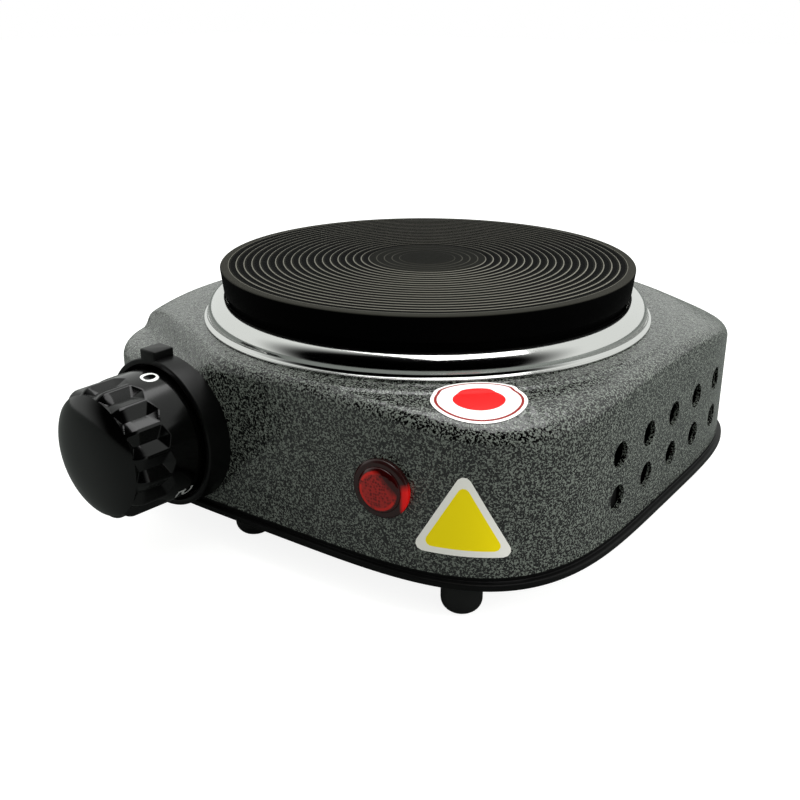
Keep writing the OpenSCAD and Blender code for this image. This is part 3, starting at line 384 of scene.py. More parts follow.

# %% [markdown]
# ** Wear and painted light on the plate.** Pans rub the black finish off where the iron
# stands proud, so the crest of each ring and the rim are painted greyer iron. The same
# lighter rings are also a painted highlight, for the flanks and the rim's edge that catch
# the light. The grooves and the plate's side are painted near black, as painted shade.
# Inside the fourth ring the crests are painted only faintly lighter. Two masks say where:
# both follow the distance from the plate's axis, as the grooves do.

# %% Wear and painted light of the plate
def polar_radius(tree, coords, centre):
    shifted = add(tree, "ShaderNodeVectorMath", {
        0: coords, 1: (-centre[0] * MM, -centre[1] * MM, 0)}, operation="ADD")
    flat = add(tree, "ShaderNodeVectorMath", {0: shifted, 1: (1, 1, 0)},
               operation="MULTIPLY")
    return add(tree, "ShaderNodeVectorMath", {0: flat},
               operation="LENGTH").outputs["Value"]


GROOVE_FROM, GROOVE_PITCH, GROOVES, FAINT = 6.7, 1.88, 22, 4
GROOVE_TO = GROOVE_FROM + GROOVE_PITCH * GROOVES
MIDDLE_R = GROOVE_FROM + GROOVE_PITCH * FAINT
CREST, GULLY, EARLY = (0.04, 0.17), (0.2, 0.8), 0.1
FAINT_WEAR_AND_HIGHLIGHT, RIM_WEAR_AND_HIGHLIGHT = 0.25, 0.14


def between(tree, value, low, high, soft):
    """1 where the value lies between low and high, with soft edges."""
    up = add(tree, "ShaderNodeMapRange", {
        "Value": value, "From Min": low - soft, "From Max": low + soft})
    down = add(tree, "ShaderNodeMapRange", {
        "Value": value, "From Min": high + soft, "From Max": high - soft})
    return add(tree, "ShaderNodeMath", {0: up, 1: down}, operation="MULTIPLY")


def plate_wear(tree, coords, radius):
    """Where the crests and rim are painted lighter, for wear and a painted highlight, and
    where painted shade makes the grooves and side black: two masks.
    """
    turn = add(tree, "ShaderNodeMapRange", {
        "Value": radius, "From Min": GROOVE_FROM * MM,
        "From Max": (GROOVE_FROM + GROOVE_PITCH) * MM}, clamp=False)
    early = add(tree, "ShaderNodeMath", {0: turn, 1: EARLY}, operation="ADD")
    share = add(tree, "ShaderNodeMath", {0: early}, operation="FRACT")
    crest = between(tree, share, *CREST, 0.02)
    gully = between(tree, share, *GULLY, 0.02)
    rings = between(tree, radius, MIDDLE_R * MM, GROOVE_TO * MM, 0.02 * MM)
    faint = between(tree, radius, GROOVE_FROM * MM, MIDDLE_R * MM, 0.02 * MM)
    above = add(tree, "ShaderNodeSeparateXYZ", {0: coords}).outputs["Z"]
    top = between(tree, above, (PLATE_TOP - 0.3) * MM, (PLATE_TOP + 1) * MM, 0.05 * MM)
    edge = between(tree, radius, GROOVE_TO * MM, (PLATE_R - 0.1) * MM, 0.05 * MM)
    rim = add(tree, "ShaderNodeMath", {0: edge, 1: top}, operation="MULTIPLY")
    # The crests and the rim are painted lighter: partly wear, partly a painted highlight.
    deep = add(tree, "ShaderNodeMath", {0: faint, 1: FAINT_WEAR_AND_HIGHLIGHT, 2: rings},
               operation="MULTIPLY_ADD")
    crest_wear_and_highlight = add(tree, "ShaderNodeMath", {0: crest, 1: deep}, operation="MULTIPLY")
    wear_and_highlight = add(tree, "ShaderNodeMath", {
        0: rim, 1: RIM_WEAR_AND_HIGHLIGHT, 2: crest_wear_and_highlight}, operation="MULTIPLY_ADD")
    # Painted shade: the groove bottoms and the plate's side are made near black.
    groove_painted_shade = add(tree, "ShaderNodeMath", {0: gully, 1: rings}, operation="MULTIPLY")
    side = add(tree, "ShaderNodeMath", {0: 1.0, 1: top}, operation="SUBTRACT")
    black = add(tree, "ShaderNodeMath", {0: groove_painted_shade, 1: side}, operation="MAXIMUM")
    return wear_and_highlight, black


print(GROOVES, "grooves from", GROOVE_FROM, "to", round(GROOVE_TO, 1), "mm")

# %% [markdown]
# **Turned cast iron.** The plate is grey iron, cast and faced on a lathe, then coated
# with a thin black stove finish, which is matt. The grooves are real geometry. What the
# lathe leaves between them is finer than a tenth of a millimetre, so it is drawn as
# rings of bump, half a millimetre apart.

# %% Turned cast iron
TOOL_MARK = 0.55 * MM


def turned_iron(tree, coords):
    radius = polar_radius(tree, coords, AXIS)
    phase = add(tree, "ShaderNodeMath", {0: radius, 1: 2 * math.pi / TOOL_MARK},
                operation="MULTIPLY")
    marks = add(tree, "ShaderNodeMath", {0: phase}, operation="SINE")
    grain = add(tree, "ShaderNodeTexNoise", {
        "Vector": coords, "Scale": 1 / (0.7 * MM), "Detail": 4.0})
    height = add(tree, "ShaderNodeMath", {
        0: marks, 1: 0.35, 2: grain}, operation="MULTIPLY_ADD")
    bump = add(tree, "ShaderNodeBump", {
        "Height": height, "Strength": 0.35, "Distance": 0.05 * MM})
    tint = add(tree, "ShaderNodeTexNoise", {"Vector": coords, "Scale": 1 / (22 * MM)})
    coat = add(tree, "ShaderNodeMix", {
        "Factor": tint, 6: colour("#10110f"), 7: colour("#1a1915")}, data_type="RGBA")
    wear_and_highlight, black = plate_wear(tree, coords, radius)
    # Painted shade darkens the grooves and side, and a painted highlight lightens the crests
    # and rim.
    coat_with_painted_shade = add(tree, "ShaderNodeMix", {
        "Factor": black, 6: coat.outputs[2], 7: colour("#020202")}, data_type="RGBA")
    face = add(tree, "ShaderNodeMix", {
        "Factor": wear_and_highlight, 6: coat_with_painted_shade.outputs[2], 7: colour("#6b6961")}, data_type="RGBA")
    rough = add(tree, "ShaderNodeMapRange", {
        "Value": grain, "To Min": 0.6, "To Max": 0.75})
    return {"Base Color": face.outputs[2], "Roughness": rough,
            "Specular IOR Level": 0.02, "Normal": bump}


IRON = material("turned_cast_iron", turned_iron)

# %% [markdown]
# **Bright rolled steel.** The trim ring is stainless strip, spun and buffed. It mirrors
# the room, with hair lines that run round it, drawn 0.12 mm wide so that they show.

# %% Bright rolled steel
def buffed_steel(tree, coords):
    radius = polar_radius(tree, coords, AXIS)
    lines = add(tree, "ShaderNodeTexNoise", {
        "W": radius, "Scale": 1 / (0.12 * MM), "Detail": 2.0}, noise_dimensions="1D")
    rough = add(tree, "ShaderNodeMapRange", {
        "Value": lines, "To Min": 0.06, "To Max": 0.15})
    return {"Base Color": colour("#e4e4e2"), "Metallic": 1.0, "Roughness": rough}


BRIGHT = material("buffed_stainless_steel", buffed_steel)

# %% [markdown]
# **Phenolic and ABS.** The knob is a glossy thermoset moulding, near black, with a faint
# orange peel. The collar is moulded from a satin black plastic with a fine spark grain.

# %% Black mouldings
def glossy_phenolic(tree, coords):
    peel = add(tree, "ShaderNodeTexNoise", {"Vector": coords, "Scale": 1 / (2.5 * MM)})
    bump = add(tree, "ShaderNodeBump", {
        "Height": peel, "Strength": 0.05, "Distance": 0.1 * MM})
    return {"Base Color": colour("#020202"), "Roughness": 0.14, "Specular IOR Level": 0.4,
            "Normal": bump}


def satin_plastic(tree, coords):
    spark = add(tree, "ShaderNodeTexNoise", {
        "Vector": coords, "Scale": 1 / (0.25 * MM), "Detail": 3.0})
    bump = add(tree, "ShaderNodeBump", {
        "Height": spark, "Strength": 0.25, "Distance": 0.03 * MM})
    return {"Base Color": colour("#060606"), "Roughness": 0.34, "Specular IOR Level": 0.25,
            "Normal": bump}


PHENOLIC = material("moulded_phenolic", glossy_phenolic)
SATIN = material("spark_grained_abs", satin_plastic)

# %% [markdown]
# ** Red polycarbonate.** The pilot lens is moulded in deep red. Small pyramids on its
# inside break up the view, which shows as a honeycomb. Round it the barrel's end shows
# as a brighter ring with four gaps. Its upper right corner is painted dark, a painted
# reflection, and a faint glow in its own colours is painted in for light that passes
# through the plastic. Its patterns are laid out on the wall behind it, across and up
# from the lamp's middle.

# %% Lens plastic
HONEYCOMB = 0.62 * MM
HOOP_IN, HOOP_OUT, LENS_EDGE = 3.55, 4.15, 4.2
DARK_PATCH_FROM, DARK_PATCH_SOFT = 3.6, 1.1
BEYOND_LAMP = 20.0


def on_lamp_wall(tree, coords):
    """Across and up from the lamp's middle, and the distance from it, in metres."""
    origin, right, up, _ = ON_LAMP
    shifted = add(tree, "ShaderNodeVectorMath", {
        0: coords, 1: tuple(-origin * MM)}, operation="ADD")
    across = add(tree, "ShaderNodeVectorMath", {0: shifted, 1: tuple(right)},
                 operation="DOT_PRODUCT").outputs["Value"]
    high = add(tree, "ShaderNodeVectorMath", {0: shifted, 1: tuple(up)},
               operation="DOT_PRODUCT").outputs["Value"]
    flat = add(tree, "ShaderNodeCombineXYZ", {0: across, 1: high})
    reach = add(tree, "ShaderNodeVectorMath", {0: flat}, operation="LENGTH")
    return across, high, reach.outputs["Value"]


def red_lens(tree, coords):
    across, high, reach = on_lamp_wall(tree, coords)
    cells = add(tree, "ShaderNodeTexVoronoi", {
        "Vector": coords, "Scale": 1 / HONEYCOMB, "Randomness": 0.6}, feature="F1")
    net = add(tree, "ShaderNodeMapRange", {
        "Value": cells, "From Min": 0.15, "From Max": 0.6})
    face = add(tree, "ShaderNodeMix", {
        "Factor": net, 6: colour("#4c0000"), 7: colour("#8a1511")}, data_type="RGBA")
    turn = add(tree, "ShaderNodeMath", {0: high, 1: across}, operation="ARCTAN2")
    twice = add(tree, "ShaderNodeMath", {0: turn, 1: 2.0, 2: 0.6},
                operation="MULTIPLY_ADD")
    wave = add(tree, "ShaderNodeMath", {0: twice}, operation="SINE")
    apart = add(tree, "ShaderNodeMath", {0: wave}, operation="ABSOLUTE")
    arcs = between(tree, apart, 0.22, 2.0, 0.05)
    hoop = between(tree, reach, HOOP_IN * MM, HOOP_OUT * MM, 0.12 * MM)
    lit = add(tree, "ShaderNodeMath", {0: arcs, 1: hoop}, operation="MULTIPLY")
    ringed = add(tree, "ShaderNodeMix", {
        "Factor": lit, 6: face.outputs[2], 7: colour("#a8150d")}, data_type="RGBA")
    outer = between(tree, reach, LENS_EDGE * MM, BEYOND_LAMP * MM, 0.15 * MM)
    # Painted reflection: a dark patch over the lens's upper right corner.
    slant = add(tree, "ShaderNodeMath", {0: across, 1: high}, operation="ADD")
    painted_dark_patch = between(tree, slant, DARK_PATCH_FROM * MM, BEYOND_LAMP * MM, DARK_PATCH_SOFT * MM)
    unlit = add(tree, "ShaderNodeMath", {0: outer, 1: painted_dark_patch}, operation="MAXIMUM")
    edged = add(tree, "ShaderNodeMix", {
        "Factor": unlit, 6: ringed.outputs[2], 7: colour("#260101")}, data_type="RGBA")
    bump = add(tree, "ShaderNodeBump", {
        "Height": cells, "Strength": 0.3, "Distance": 0.05 * MM})
    # The faint emission is a painted glow for light passing through the red plastic.
    return {"Base Color": edged.outputs[2], "Roughness": 0.1, "IOR": 1.585,
            "Normal": bump, "Emission Color": edged.outputs[2], "Emission Strength": 0.15}


LENS_RED = material("red_polycarbonate", red_lens)

# %% [markdown]
# The lens's flange is the same plastic, but thick and dark. Only its lower right edge is
# painted lit, in its colour and a glow, for the room shining through it.

# %% Flange plastic
LIT_RIGHT, LIT_UP_TO = 4.9, 1.6


def red_flange(tree, coords):
    across, high, _ = on_lamp_wall(tree, coords)
    right_side = between(tree, across, LIT_RIGHT * MM, BEYOND_LAMP * MM, 0.4 * MM)
    low_side = between(tree, high, -BEYOND_LAMP * MM, LIT_UP_TO * MM, 0.8 * MM)
    # Painted light: the lit edge is brighter colour and emission.
    lit = add(tree, "ShaderNodeMath", {0: right_side, 1: low_side}, operation="MULTIPLY")
    body = add(tree, "ShaderNodeMix", {
        "Factor": lit, 6: colour("#260c0b"), 7: colour("#9a0302")}, data_type="RGBA")
    return {"Base Color": body.outputs[2], "Roughness": 0.2, "IOR": 1.585,
            "Emission Color": colour("#890000"), "Emission Strength": lit}


FLANGE_RED = material("red_polycarbonate_flange", red_flange)

# %% [markdown]
# **Plain finishes** for the rest: powder coat, rubber, zinc plate, brass, ceramic,
# cement, wire insulation. Each has its own grain and a slight change of colour, because
# a single flat colour is never a finished material. They dress the pieces that keep the
# CAD model's own meshes.

# %% Plain finishes
def plain(name, dark, light, rough, grain_mm, bump=0.2, metallic=0.0, ior=1.5):
    def recipe(tree, coords):
        grain = add(tree, "ShaderNodeTexNoise", {
            "Vector": coords, "Scale": 1 / (grain_mm * MM), "Detail": 4.0})
        body = add(tree, "ShaderNodeMix", {
            "Factor": grain, 6: colour(dark), 7: colour(light)}, data_type="RGBA")
        relief = add(tree, "ShaderNodeBump", {
            "Height": grain, "Strength": bump, "Distance": grain_mm * MM / 5})
        shine = add(tree, "ShaderNodeMapRange", {
            "Value": grain, "To Min": rough - 0.06, "To Max": rough + 0.06})
        return {"Base Color": body.outputs[2], "Roughness": shine,
                "Metallic": metallic, "IOR": ior, "Normal": relief}
    return material(name, recipe)


POWDER = plain("black_powder_coat", "#060606", "#0d0d0d", 0.42, 0.5, ior=1.25)
RUBBER = plain("moulded_rubber", "#0b0b0b", "#141414", 0.55, 0.3)
ZINC = plain("zinc_plated_steel", "#9a9da0", "#b9bbbc", 0.33, 0.6, metallic=1.0)
BRASS = plain("drawn_brass", "#b08d45", "#caa75c", 0.3, 0.6, metallic=1.0)
SPRING = plain("copper_alloy_strip", "#a8673c", "#bf7d4e", 0.3, 0.5, metallic=1.0)
BIMETAL = plain("rolled_bimetal", "#857c6a", "#9a907c", 0.35, 0.5, metallic=1.0)
CERAMIC = plain("steatite_ceramic", "#d9d3c4", "#ece7da", 0.5, 0.4, ior=1.6)
CEMENT = plain("pressed_cement", "#a89f8a", "#c4bba6", 0.85, 0.5)
COIL = plain("oxidised_coil_alloy", "#4a3d33", "#64564a", 0.5, 0.3, metallic=1.0)
NYLON = plain("moulded_nylon", "#121213", "#1c1c1d", 0.4, 0.4)
GLASS = plain("neon_bulb_glass", "#b98a66", "#d0a07a", 0.1, 2.0, bump=0.0)
MARK_PAINT = plain("printed_white_paint", "#e4e4e2", "#f4f4f2", 0.4, 0.3, bump=0.05)
WIRES = {
    "live_wire": plain("brown_pvc", "#4a2a14", "#5c371d", 0.4, 0.8),
    "load_wire": plain("black_pvc", "#101010", "#1b1b1b", 0.4, 0.8),
    "neutral_wire": plain("blue_pvc", "#15428c", "#1d52a6", 0.4, 0.8),
    "lamp_wires": plain("grey_pvc", "#6a6a6a", "#7c7c7c", 0.4, 0.8),
    "earth_wire": plain("green_yellow_pvc", "#8fae1c", "#5f9a1e", 0.4, 3.0),
}
FINISH = {
    POWDER: ["corner_brackets"],
    ZINC: ["base_screws", "backing_disc", "center_stud", "spacer_sleeve", "heat_shield",
           "mounting_bridge", "stud_washer", "stud_nut", "thermostat_frame", "bush_nut",
           "shaft", "stack_rivet", "lamp_retainer", "block_screws", "earth_screw",
           "earth_nut"],
    BRASS: ["plate_terminals", "thermostat_bush", "arm_terminal", "fixed_contact",
            "block_inserts", "earth_lug"],
    CERAMIC: ["terminal_bushes", "adjuster_pin", "stack_insulators", "lamp_plug",
              "lamp_resistor", "terminal_block"],
    SPRING: ["contact_arm"], BIMETAL: ["bimetal_strip"], CEMENT: ["insulating_cement"],
    COIL: ["heating_coil"], NYLON: ["cord_gland", "gland_nut"], GLASS: ["neon_bulb"],
    RUBBER: ["feet"],
}
dressed = {node: finish for finish, nodes in FINISH.items() for node in nodes} | WIRES
for node, finish in dressed.items():
    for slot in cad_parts[node].material_slots:
        slot.material = finish
print("dressed", len(dressed), "CAD nodes")

# %% [markdown]
# **The housing** is one pressing. Its top is crowned round the plate's axis, with a flat
# seat under the ring, and the front-left corner steps down to a low nose. A formula
# gives the top's height anywhere. Rays from the axis sample it out to the wall, where a
# quarter circle rolls the surface over, and straight rows go down to the hem.

# %% Height of the housing's top
SEAT_Z, SEAT_R, SEAT_SOFT = 44.6, 59.0, 0.8
STEP_Z, STEP_WIDE = 0.4, 0.9
CROWN_SLOPE, CORNER_SLOPE, BEND_R, BEND_SOFT = 0.114, 0.46, 66.0, 2.0
NOSE_TOP_Z = SEAT_Z - STEP_Z / 2
NOSE_Z, NOSE_LINE, NOSE_STEP, NOSE_TURN = 38.7, 60.0, 5.0, math.radians(28.5)
NOSE_SOFT = 0.25


def soft_positive(x, width):
    return (x + np.sqrt(x * x + width * width)) / 2


def smooth_step(x):
    x = np.clip(x, 0, 1)
    return x * x * (3 - 2 * x)


def nose_reach(x, y):
    """How far a point lies out along the nose's direction, from the plate's axis."""
    return -(x - AXIS[0]) * math.sin(NOSE_TURN) - (y - AXIS[1]) * math.cos(NOSE_TURN)


def top_height(x, y):
    r = np.hypot(x - AXIS[0], y - AXIS[1])
    step = STEP_Z * smooth_step((r - SEAT_R) / STEP_WIDE)
    fall = CROWN_SLOPE * soft_positive(r - SEAT_R, SEAT_SOFT)
    corner = (CORNER_SLOPE - CROWN_SLOPE) * soft_positive(r - BEND_R, BEND_SOFT)
    crown = SEAT_Z - step - fall - corner
    f = (nose_reach(x, y) - NOSE_LINE + NOSE_STEP / 2) / NOSE_STEP
    nose = NOSE_Z + (NOSE_TOP_Z - NOSE_Z) * (1 + np.cos(np.pi * np.clip(f, 0, 1))) / 2
    nose = np.where(f < 0, SEAT_Z + 1, nose)
    return crown - soft_positive(crown - nose, NOSE_SOFT)


print("top", round(float(top_height(*AXIS)), 1), "mm high at the plate's axis")

# %% [markdown]
# The plate's axis isn't the housing's middle, so the rays differ in length. There is no
# short formula for where a ray meets the outline. Each is found by halving an interval
# again and again, all of them at once.

# %% Rays to the wall
NEAREST, FARTHEST, HALVINGS = 30.0, 110.0, 50


def ray_length(angle):
    """Distance from the plate's axis to the housing's outline."""
    dx, dy = np.cos(angle), np.sin(angle)
    near, far = np.full_like(angle, NEAREST), np.full_like(angle, FARTHEST)
    for _ in range(HALVINGS):
        middle = (near + far) / 2
        x = np.abs((AXIS[0] + middle * dx - COVER[0]) / HALF) ** SQUARENESS
        y = np.abs((AXIS[1] + middle * dy - COVER[1]) / HALF) ** SQUARENESS
        inside = x + y < 1
        near, far = np.where(inside, middle, near), np.where(inside, far, middle)
    return near


print("front ray", round(float(ray_length(np.array([-math.pi / 2]))[0]), 2), "mm")

# %% [markdown]
# The rings start inside the trim ring, spread out over the top, roll over the edge and
# go down the wall. The roll is measured square to the wall, so a ray that meets the wall
# aslant starts it earlier, and it is wider on the nose.

# %% Shell of the housing
OPENING_R = 44.5
ROLL, NOSE_ROLL, NOSE_BLEND = 2.4, 1.2, 4.0


def housing_rings(rays, top_rows, roll_rows, wall_rows, low_z):
    angle = full_turn(rays)
    reach = ray_length(angle)
    dx, dy = np.cos(angle), np.sin(angle)
    x, y = AXIS[0] + reach * dx, AXIS[1] + reach * dy
    normal = np.stack([
        np.sign(x - COVER[0]) * np.abs(x - COVER[0]) ** (SQUARENESS - 1),
        np.sign(y - COVER[1]) * np.abs(y - COVER[1]) ** (SQUARENESS - 1)])
    normal /= np.linalg.norm(normal, axis=0)
    lean = normal[0] * dx + normal[1] * dy
    low_corner = smooth_step((nose_reach(x, y) - NOSE_LINE) / NOSE_BLEND)
    roll = ROLL + NOSE_ROLL * low_corner
    inner = reach - roll / lean
    rings = []
    for u in np.linspace(0, 1, top_rows):
        r = OPENING_R + (inner - OPENING_R) * u
        px, py = AXIS[0] + r * dx, AXIS[1] + r * dy
        rings.append(np.stack([px, py, top_height(px, py)], 1))
    for u in np.linspace(0, math.pi / 2, roll_rows + 1)[1:]:
        r = inner + roll * math.sin(u) / lean
        px, py = AXIS[0] + r * dx, AXIS[1] + r * dy
        z = top_height(px, py) - roll * (1 - math.cos(u))
        rings.append(np.stack([px, py, z], 1))
    edge = rings[-1]
    for u in np.linspace(0, 1, wall_rows + 1)[1:]:
        ring = edge.copy()
        ring[:, 2] = edge[:, 2] + (low_z - edge[:, 2]) * u
        rings.append(ring)
    return rings


rings = housing_rings(rays=360, top_rows=60, roll_rows=7, wall_rows=10,
                      low_z=cover_low[2])
housing = loft("housing_shell", rings, sharp=50, open_ends=True)
print("housing", len(housing.data.polygons), "faces before its wall")

# %% [markdown]
# Two rows of vents are punched through each side. A node tree lays the punches out on a
# grid from named sizes. They are one long cylinder for each pair of opposite vents, so
# that one Boolean cuts both walls.

# %% Vent punches by nodes
LOW_VENT_Z, ROW_GAP, VENT_SHIFT, PUNCH_SIDES = 19.0, 9.7, 6.4, 40
VENT_SIZES = {"Holes": 5, "Pitch": 14.0 * MM, "Row Gap": ROW_GAP * MM,
              "Radius": 2.9 * MM, "Depth": 2 * HALF * MM + 0.01}


def punch_tree():
    tree = bpy.data.node_groups.new("vent_punches", "GeometryNodeTree")
    face = tree.interface
    for name, value in VENT_SIZES.items():
        kind = "NodeSocketInt" if isinstance(value, int) else "NodeSocketFloat"
        face.new_socket(name, in_out="INPUT", socket_type=kind)
    face.new_socket("Geometry", in_out="OUTPUT", socket_type="NodeSocketGeometry")
    given = add(tree, "NodeGroupInput").outputs
    gaps = add(tree, "ShaderNodeMath", {0: given["Holes"], 1: 1.0}, operation="SUBTRACT")
    width = add(tree, "ShaderNodeMath", {0: gaps, 1: given["Pitch"]},
                operation="MULTIPLY")
    grid = add(tree, "GeometryNodeMeshGrid", {
        "Size X": given["Row Gap"], "Size Y": width, "Vertices X": 2,
        "Vertices Y": given["Holes"]})
    punch = add(tree, "GeometryNodeMeshCylinder", {
        "Vertices": PUNCH_SIDES, "Radius": given["Radius"], "Depth": given["Depth"]})
    placed = add(tree, "GeometryNodeInstanceOnPoints", {
        "Points": grid, "Instance": punch})
    solid = add(tree, "GeometryNodeRealizeInstances", {0: placed})
    painted = add(tree, "GeometryNodeSetMaterial", {
        "Geometry": solid, "Material": HAMMERTONE})
    add(tree, "NodeGroupOutput", {0: painted})
    return tree


def apply_modifiers(piece):
    graph = bpy.context.evaluated_depsgraph_get()
    mesh = bpy.data.meshes.new_from_object(piece.evaluated_get(graph))
    piece.modifiers.clear()
    piece.data = mesh


def run_tree(name, tree, values):
    """Makes a plain mesh from a node tree and the values of its named inputs."""
    host = bpy.data.objects.new(name, bpy.data.meshes.new(name))
    bpy.context.collection.objects.link(host)
    modifier = host.modifiers.new("nodes", "NODES")
    modifier.node_group = tree
    for item in tree.interface.items_tree:
        if item.in_out == "INPUT" and item.name in values:
            modifier[item.identifier] = values[item.name]
    apply_modifiers(host)
    return host


vents_at = Vector((COVER[0], AXIS[1] + VENT_SHIFT, LOW_VENT_Z + ROW_GAP / 2)) * MM
punches = run_tree("vent_punches", punch_tree(), VENT_SIZES)
punches.data.transform(
    Matrix.Translation(vents_at) @ Matrix.Rotation(math.radians(90), 4, "Y"))
print("punches", len(punches.data.polygons), "faces")

# %% [markdown]
# The pressing gets its sheet thickness from Solidify, inwards. Then one Boolean cuts the
# vents with the holes of the knob, the lamp and the cord gland. New edges are creased
# again afterwards, so that the holes stay crisp and the sheet smooth.

# %% Wall and holes of the housing
SHEET = 1.0
GLAND_Z = 23.0
ON_BACK = (np.array([COVER[0], COVER[1] + HALF, GLAND_Z]), np.array([-1.0, 0, 0]),
           np.array([0, 0, 1.0]), np.array([0, 1.0, 0]))
HOLES = ((ON_KNOB, 4.1), (ON_LAMP, 5.0), (ON_BACK, 5.1))


def cut(piece, tool, operation="DIFFERENCE"):
    boolean = piece.modifiers.new("cut", "BOOLEAN")
    boolean.operation = operation
    boolean.solver = "EXACT"
    boolean.object = tool
    apply_modifiers(piece)
    bpy.data.objects.remove(tool)


def join(pieces):
    with bpy.context.temp_override(active_object=pieces[0], object=pieces[0],
                                   selected_objects=pieces,
                                   selected_editable_objects=pieces):
        bpy.ops.object.join()
    return pieces[0]


def recrease(piece, sharp):
    bm = bmesh.new()
    bm.from_mesh(piece.data)
    crease(bm, sharp)
    bm.to_mesh(piece.data)
    bm.free()


wall = housing.modifiers.new("sheet", "SOLIDIFY")
wall.thickness = SHEET * MM
wall.offset = -1
apply_modifiers(housing)
holes = [punches]
for place, radius in HOLES:
    holes.append(turned("hole", [(radius, -5), (radius, 5)], place, 48))
cut(housing, join(holes))
recrease(housing, 50)
dress(housing, HAMMERTONE)
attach(housing, "root")
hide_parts("top_cover")

# %% [markdown]
# **The base** is a shallow black tray. Its lip stands out of the housing by about a
# millimetre with soft edges, which catch a thin line of light. It is lofted from the
# same outline, grown or shrunk by a little at each height.

# %% Base tray
BASE_Z, FLOOR_Z, INWARDS = 7.8, 9.3, -30
LIP, EDGE = 1.2, 0.4
HEM_GAP, BAND_FOOT = 0.02, 0.12


def base_profile():
    points = [(INWARDS, BASE_Z)]
    points += arc(LIP - EDGE, BASE_Z + EDGE, EDGE, EDGE, -90, 0, 4)
    points += arc(LIP - EDGE, FLOOR_Z - EDGE, EDGE, EDGE, 0, 90, 4)
    points += [(BAND_FOOT, FLOOR_Z), (0, FLOOR_Z + BAND_FOOT)]
    points += [(0, cover_low[2] - HEM_GAP), (-SHEET, cover_low[2] - HEM_GAP)]
    points += [(-SHEET, FLOOR_Z), (INWARDS, FLOOR_Z)]
    return points


rings = []
for grow, z in base_profile():
    ring = outline(HALF + grow, 240)
    rings.append(np.column_stack([ring, np.full(len(ring), z)]))
base = loft("base_tray", rings, sharp=40)
dress(base, POWDER)
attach(base, "root")
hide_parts("base_plate")

# %% [markdown]
# **The cooking plate** is turned: a flat rim, then even grooves, of which the four inner
# ones are hardly more than scratches. Each groove is cut like a saw tooth, given here as
# shares of the pitch and the depth. It drops steeply on its inner side and climbs gently
# outwards, so one flank catches the light.

# %% Cooking plate
GROOVE_DEPTH, FAINT_DEPTH, EDGE_ROUND, LOW_ROUND = 0.18, 0.06, 0.45, 0.35
SAW_TOOTH = [(0.0, 0.0), (0.03, 0.1), (0.06, 0.4), (0.11, 0.92), (0.15, 1.0),
             (0.35, 0.8), (0.65, 0.4), (0.92, 0.06)]
BAND, BAND_TAPER = 6.0, 0.6
SKIRT_R, SKIRT_IN, LEDGE_Z = 48.4, 46.4, 45.1
UNDER_Z, BOSS_R, BOSS_Z = 52.0, 6.0, 46.4


def plate_profile():
    points = [(PIN, PLATE_TOP), (GROOVE_FROM - 0.5, PLATE_TOP)]
    for i in range(GROOVES):
        deep = FAINT_DEPTH if i < FAINT else GROOVE_DEPTH
        for part, depth in SAW_TOOTH:
            points.append((GROOVE_FROM + (i + part) * GROOVE_PITCH,
                           PLATE_TOP - deep * depth))
    points += arc(PLATE_R - EDGE_ROUND, PLATE_TOP - EDGE_ROUND, EDGE_ROUND, EDGE_ROUND,
                  90, 0, 5)
    low = PLATE_TOP - BAND
    points += arc(PLATE_R - BAND_TAPER - LOW_ROUND, low + LOW_ROUND, LOW_ROUND,
                  LOW_ROUND, 0, -90, 4)
    points += [(SKIRT_R, low), (SKIRT_R, LEDGE_Z), (SKIRT_IN, LEDGE_Z),
               (SKIRT_IN, UNDER_Z), (BOSS_R, UNDER_Z), (BOSS_R, BOSS_Z), (PIN, BOSS_Z)]
    return points


plate = turned("cooking_plate", plate_profile(), ON_PLATE, 240, sharp=55)
dress(plate, IRON)
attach(plate, "root")
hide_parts("hot_plate")

# %% [markdown]
# **The trim ring** is strip steel rolled to a quarter round, with a flat flange outside
# and a foot inside, under the plate's skirt. Smooth arcs matter here, because a mirror
# shows every kink.

# %% Trim ring
RING_R, CREASE_R, LIP_R, FOOT_R, STRIP = 54.4, 53.5, 49.6, 45.2, 0.5
RING_Z = SEAT_Z + 5.2


def ring_profile():
    fillet = RING_R - CREASE_R
    knee = SEAT_Z + STRIP + fillet
    wide, high = CREASE_R - LIP_R, RING_Z - knee
    points = [(RING_R - 0.1, SEAT_Z), (RING_R, SEAT_Z + 0.15), (RING_R, knee - fillet - 0.1)]
    points += arc(RING_R - 0.1, knee, fillet - 0.1, fillet, -90, -180, 8)
    points += arc(LIP_R, knee, wide, high, 6, 90, 20)
    points += [(LIP_R - 0.35, RING_Z - 0.02), (LIP_R - STRIP, RING_Z - 0.2)]
    points += [(LIP_R - STRIP, LEDGE_Z), (FOOT_R, LEDGE_Z), (FOOT_R, SEAT_Z)]
    points += [(LIP_R, SEAT_Z)]
    points += arc(LIP_R, knee, wide - STRIP, high - STRIP, 90, 6, 12)
    points += [(CREASE_R - STRIP, SEAT_Z)]
    return points


ring = turned("spill_ring", ring_profile(), ON_PLATE, 288, sharp=60, loop=True)
dress(ring, BRIGHT)
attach(ring, "root")
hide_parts("trim_ring")

# %% [markdown]
# **The knob** is one moulding. Its skirt is smooth at the back, where the numbers are
# printed, and has wide pockets for the fingers further out, with pointed ends and sharp
# ridges between them. The dome closes the front. A height field over the skirt carves
# the pockets: each is as deep as the nearest of its sides allows.

